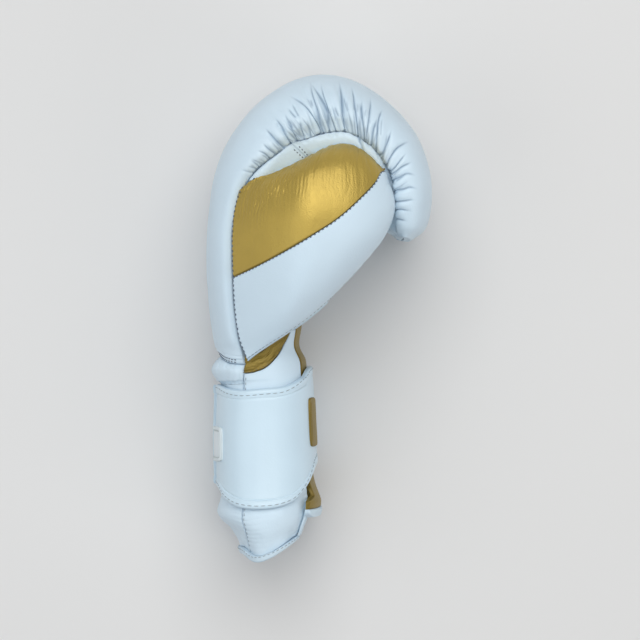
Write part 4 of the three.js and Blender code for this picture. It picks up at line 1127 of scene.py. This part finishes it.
def strap_plate(name, place, material, slot, detail, roll, crease=None):
    from_angle, to_angle, from_row, to_row = place

    def spot(u, v, height):
        x, y = 2 * u - 1, 2 * v - 1
        shrink = 1 - 0.08 * x ** 4 * y ** 4
        angle = mix(from_angle, to_angle, 0.5 + 0.5 * x * shrink)
        row = mix(from_row, to_row, 0.5 + 0.5 * y * shrink)
        return outer(row, angle, strap_raise(angle) + STRAP_FACE + height)

    return build_wall(name, lambda u, v: spot(u, v, TRIM_THICKNESS), lambda u, v: spot(u, v, 0.0), 72, 64,
                      material, slot, detail=detail, roll=roll, every=4, crease=crease)


def label_detail(p):
    side = p.edge()
    return 0.8 * (1 - smooth((side - 1.8) / 0.7)) - 0.1


# Painted shade in the groove just inside the label's raised rim
def label_crease(p):
    return 0.75 * hump(p.edge() - RIM_WIDTH, 0.5)


label = strap_plate("blank_label", LABEL_PLACE, LABEL, "label", label_detail, (1.0, 0.7), label_crease)
keep(label, "strap_label")


def patch_detail(p):
    return -0.3 * hump(p.edge() - RIM_WIDTH, 0.6) + 0.08 * noise(p.points, 8.0, 111)


strap_patch = strap_plate("gold_patch", PATCH_PLACE, SHADED_GOLD, "gold_leather", patch_detail, (1.0, 0.8))
keep(strap_patch, "strap_patch")

bpy.data.objects.remove(ENVELOPE)


# Stitches
STITCH_REACH = 0.006


def bvh_of(*objects):
    vertices, faces = [], []
    for item in objects:
        start = len(vertices)
        vertices += [v.co.copy() for v in item.data.vertices]
        faces += [[start + k for k in face.vertices] for face in item.data.polygons]
    return BVHTree.FromPolygons(vertices, faces)


def resample(points, pitch):
    """Places at even steps along a line, with its direction at each."""
    lengths = np.concatenate([[0], np.cumsum(np.linalg.norm(np.diff(points, axis=0), axis=1))])
    count = max(2, int(lengths[-1] / pitch))
    steps = (np.arange(count) + 0.5) * lengths[-1] / count

    def on_line(places):
        return np.stack([np.interp(places, lengths, points[:, i]) for i in range(3)], axis=1)

    return on_line(steps), on_line(steps + 0.3) - on_line(steps - 0.3)


def sew(name, on, paths, material, slot, pitch, length, radius):
    """Threads laid along paths in millimetres, each stitch a bent rod seated on the surface."""
    tree = bvh_of(*on)
    rings, sides = 6, 6
    verts, faces = [], []
    for path in paths:
        centres, tangents = resample(np.asarray(path, float), pitch)
        for centre, tangent in zip(centres, tangents):
            spot = Vector(to_metres(centre))
            place, normal, _, gap = tree.find_nearest(spot)
            if place is None or gap > STITCH_REACH:
                continue
            t = Vector(tangent).normalized()
            t = (t - normal * t.dot(normal)).normalized()
            b = normal.cross(t)
            start = len(verts)
            for r in range(rings):
                share = r / (rings - 1) * 2 - 1
                arch = (0.35 - 0.55 * share * share) * radius / 1000
                axis = place + t * (share * length / 2000) + normal * arch
                thick = radius / 1000 * math.sqrt(max(0.12, 1 - share * share * 0.9))
                for k in range(sides):
                    turn = 2 * math.pi * k / sides
                    verts.append(axis + b * (thick * math.cos(turn)) + normal * (thick * math.sin(turn)))
            for r in range(rings - 1):
                for k in range(sides):
                    n = (k + 1) % sides
                    faces.append((start + r * sides + k, start + r * sides + n,
                                  start + (r + 1) * sides + n, start + (r + 1) * sides + k))
            faces.append(tuple(start + k for k in reversed(range(sides))))
            faces.append(tuple(start + (rings - 1) * sides + k for k in range(sides)))
    piece = new_object(name, verts, faces, material, 180.0)
    return keep(piece)


t = np.linspace(0, 1, 300)
seam_rows = mix(15.2, 22.8, t)
cross_angles = mix(-2.5, -34.0, t)
bottom_angles = mix(112.0, FAR_EDGE - 3, t)
strap_angles = mix(STRAP_START - 3, STRAP_END + 3, t)
strap_us = (strap_angles - STRAP_START) / (STRAP_END - STRAP_START)
gusset_angles = mix(52.0, 109.0, t)
side_rows = mix(1.6, 8.2, t)
mouth_angles = mix(PALM_EDGE + 2, FAR_EDGE - 2, t)

# Rows of stitches: name, pieces sewn, paths, thread, slot, then pitch, length and radius in millimetres
STITCH_ROWS = [
    ("fist_seam_stitches", [pad], [outer(seam_rows, seam_angle(seam_rows) + 1.6, -4.0)],
     THREAD, "binding", 2.7, 1.5, 0.46),
    ("fist_far_seam_stitches", [pad], [outer(mix(11, 23, t), FAR_EDGE - 2.0 + 0 * t, -2.0)],
     THREAD, "binding", 2.7, 1.5, 0.4),
    ("strip_seam_stitches", [index_side], [outer(row + 0 * t, seam_angle(row) + cross_angles)
                                           for row in (CROSS_SEAM_ROW - 0.1, CROSS_SEAM_ROW + 0.1)],
     THREAD, "binding", 2.2, 1.3, 0.32),
    ("pad_hem_stitches", [pad], [outer(pad_bottom(bottom_angles) + up, bottom_angles) for up in (0.1, 0.24)],
     THREAD, "binding", 2.6, 1.7, 0.34),
    ("thumb_back_stitches", [thumb_white, thumb_gold], [thumb_crown(0.052 + 0 * t, mix(0.06, 0.93, t))],
     THREAD, "binding", 3.0, 1.6, 0.38),
    ("gold_seam_stitches", [thumb_white], [thumb_crown(t, seam_row(t) - 0.003)],
     THREAD, "binding", 2.9, 1.4, 0.36),
    ("thumb_hem_stitches", [thumb_white, thumb_hem],
     [thumb_crown(mix(0.08, 0.97, t), THUMB_HEM + 0.012 + 0 * t)], PALE_THREAD, "binding", 3.0, 2.0, 0.25),
    ("strap_stitches", [strap], [strap_point(strap_us, across + 0 * t, STRAP_THICKNESS)
                                 for across in (0.055, 0.945)],
     PALE_THREAD, "binding", 4.2, 3.0, 0.26),
    ("gusset_stitches", [gusset], [outer(gusset_low(gusset_angles) + 0.16, gusset_angles)],
     GOLD_THREAD, "gold_leather", 2.6, 1.8, 0.25),
    ("cuff_seam_stitches", [cuff_side], [outer(side_rows, back_seam(side_rows) - 3.2)],
     PALE_THREAD, "binding", 3.2, 2.0, 0.25),
    ("mouth_stitches", [mouth_band, cuff_side, cuff_back],
     [outer(mouth_row(mouth_angles) + 0.27, mouth_angles, 0.8)], PALE_THREAD, "binding", 3.0, 2.0, 0.25),
]
for stitch_row in STITCH_ROWS:
    sew(*stitch_row)


# Floor, light and camera
FLOOR_HALF = 6.0
FLOOR_TINT = (0.765, 0.76, 0.757, 1)
FLOOR_DROP = 0.0005
SKY_STRENGTH = 0.46
SKY_LOW_TINT = (0.3, 0.3, 0.32)
SKY_HIGH_TINT = (0.95, 0.98, 1.0)
LIGHT_AIM = (0, 0, 0.05)

# Round lights: name, place and size in metres, watts, tint
LIGHTS = [
    ("key", (0.08, 0.75, 1.8), 1.9, 21.5, (1.0, 0.99, 0.97)),
    ("fill", (-1.4, -0.4, 1.3), 1.8, 6, (0.95, 0.98, 1.0)),
    ("low", (1.3, -1.1, 0.9), 1.5, 6.2, (1.0, 0.98, 0.95)),
]

# The photograph looks straight down on the glove, and its 640 pixels span 400 mm
CAMERA_DISTANCE = 2.2
SCALE_HEIGHT = 0.07
PHOTO_SPAN = 0.4
SENSOR_WIDTH = 36.0


def studio_floor():
    mesh = bpy.data.meshes.new("studio_floor")
    corners = [(-1, -1), (1, -1), (1, 1), (-1, 1)]
    mesh.from_pydata([(x * FLOOR_HALF, y * FLOOR_HALF, 0) for x, y in corners], [], [(0, 1, 2, 3)])
    floor = bpy.data.objects.new("studio_floor", mesh)
    bpy.context.scene.collection.objects.link(floor)
    mat, _, shader = new_material("studio_floor")
    socket(shader, "Base Color", FLOOR_TINT)
    socket(shader, "Roughness", 0.9)
    socket(shader, "Specular IOR Level", 0.1)
    mesh.materials.append(mat)
    floor.location.z = -FLOOR_DROP


def studio_world():
    world = bpy.data.worlds.new("studio")
    world.use_nodes = True
    tree = world.node_tree
    sky = tree.nodes["Background"]
    socket(sky, "Strength", SKY_STRENGTH)
    where = tree.nodes.new("ShaderNodeTexCoord")
    parts = tree.nodes.new("ShaderNodeSeparateXYZ")
    tree.links.new(where.outputs["Generated"], parts.inputs[0])
    colour = two_tints(tree, parts.outputs["Z"], SKY_LOW_TINT, SKY_HIGH_TINT, (0.0, 0.75))
    tree.links.new(colour, sky.inputs["Color"])
    bpy.context.scene.world = world


def studio_light(name, place, size, watts, tint):
    light = bpy.data.lights.new(name, "AREA")
    light.shape = "DISK"
    light.size = size
    light.energy = watts
    light.color = tint
    item = bpy.data.objects.new(name, light)
    item.location = place
    item.rotation_euler = (Vector(LIGHT_AIM) - Vector(place)).to_track_quat("-Z", "Y").to_euler()
    bpy.context.scene.collection.objects.link(item)


def photo_camera():
    cam = bpy.data.cameras.new("photo_camera")
    cam.sensor_width = SENSOR_WIDTH
    cam.lens = SENSOR_WIDTH * CAMERA_DISTANCE / PHOTO_SPAN
    cam.clip_start = 0.05
    item = bpy.data.objects.new("photo_camera", cam)
    item.location = (CENTRE_SHIFT[0] / 1000, CENTRE_SHIFT[1] / 1000, CAMERA_DISTANCE + SCALE_HEIGHT)
    bpy.context.scene.collection.objects.link(item)
    bpy.context.scene.camera = item


photo_camera()
studio_floor()
studio_world()
for light_values in LIGHTS:
    studio_light(*light_values)
bpy.context.scene.view_settings.view_transform = "Standard"
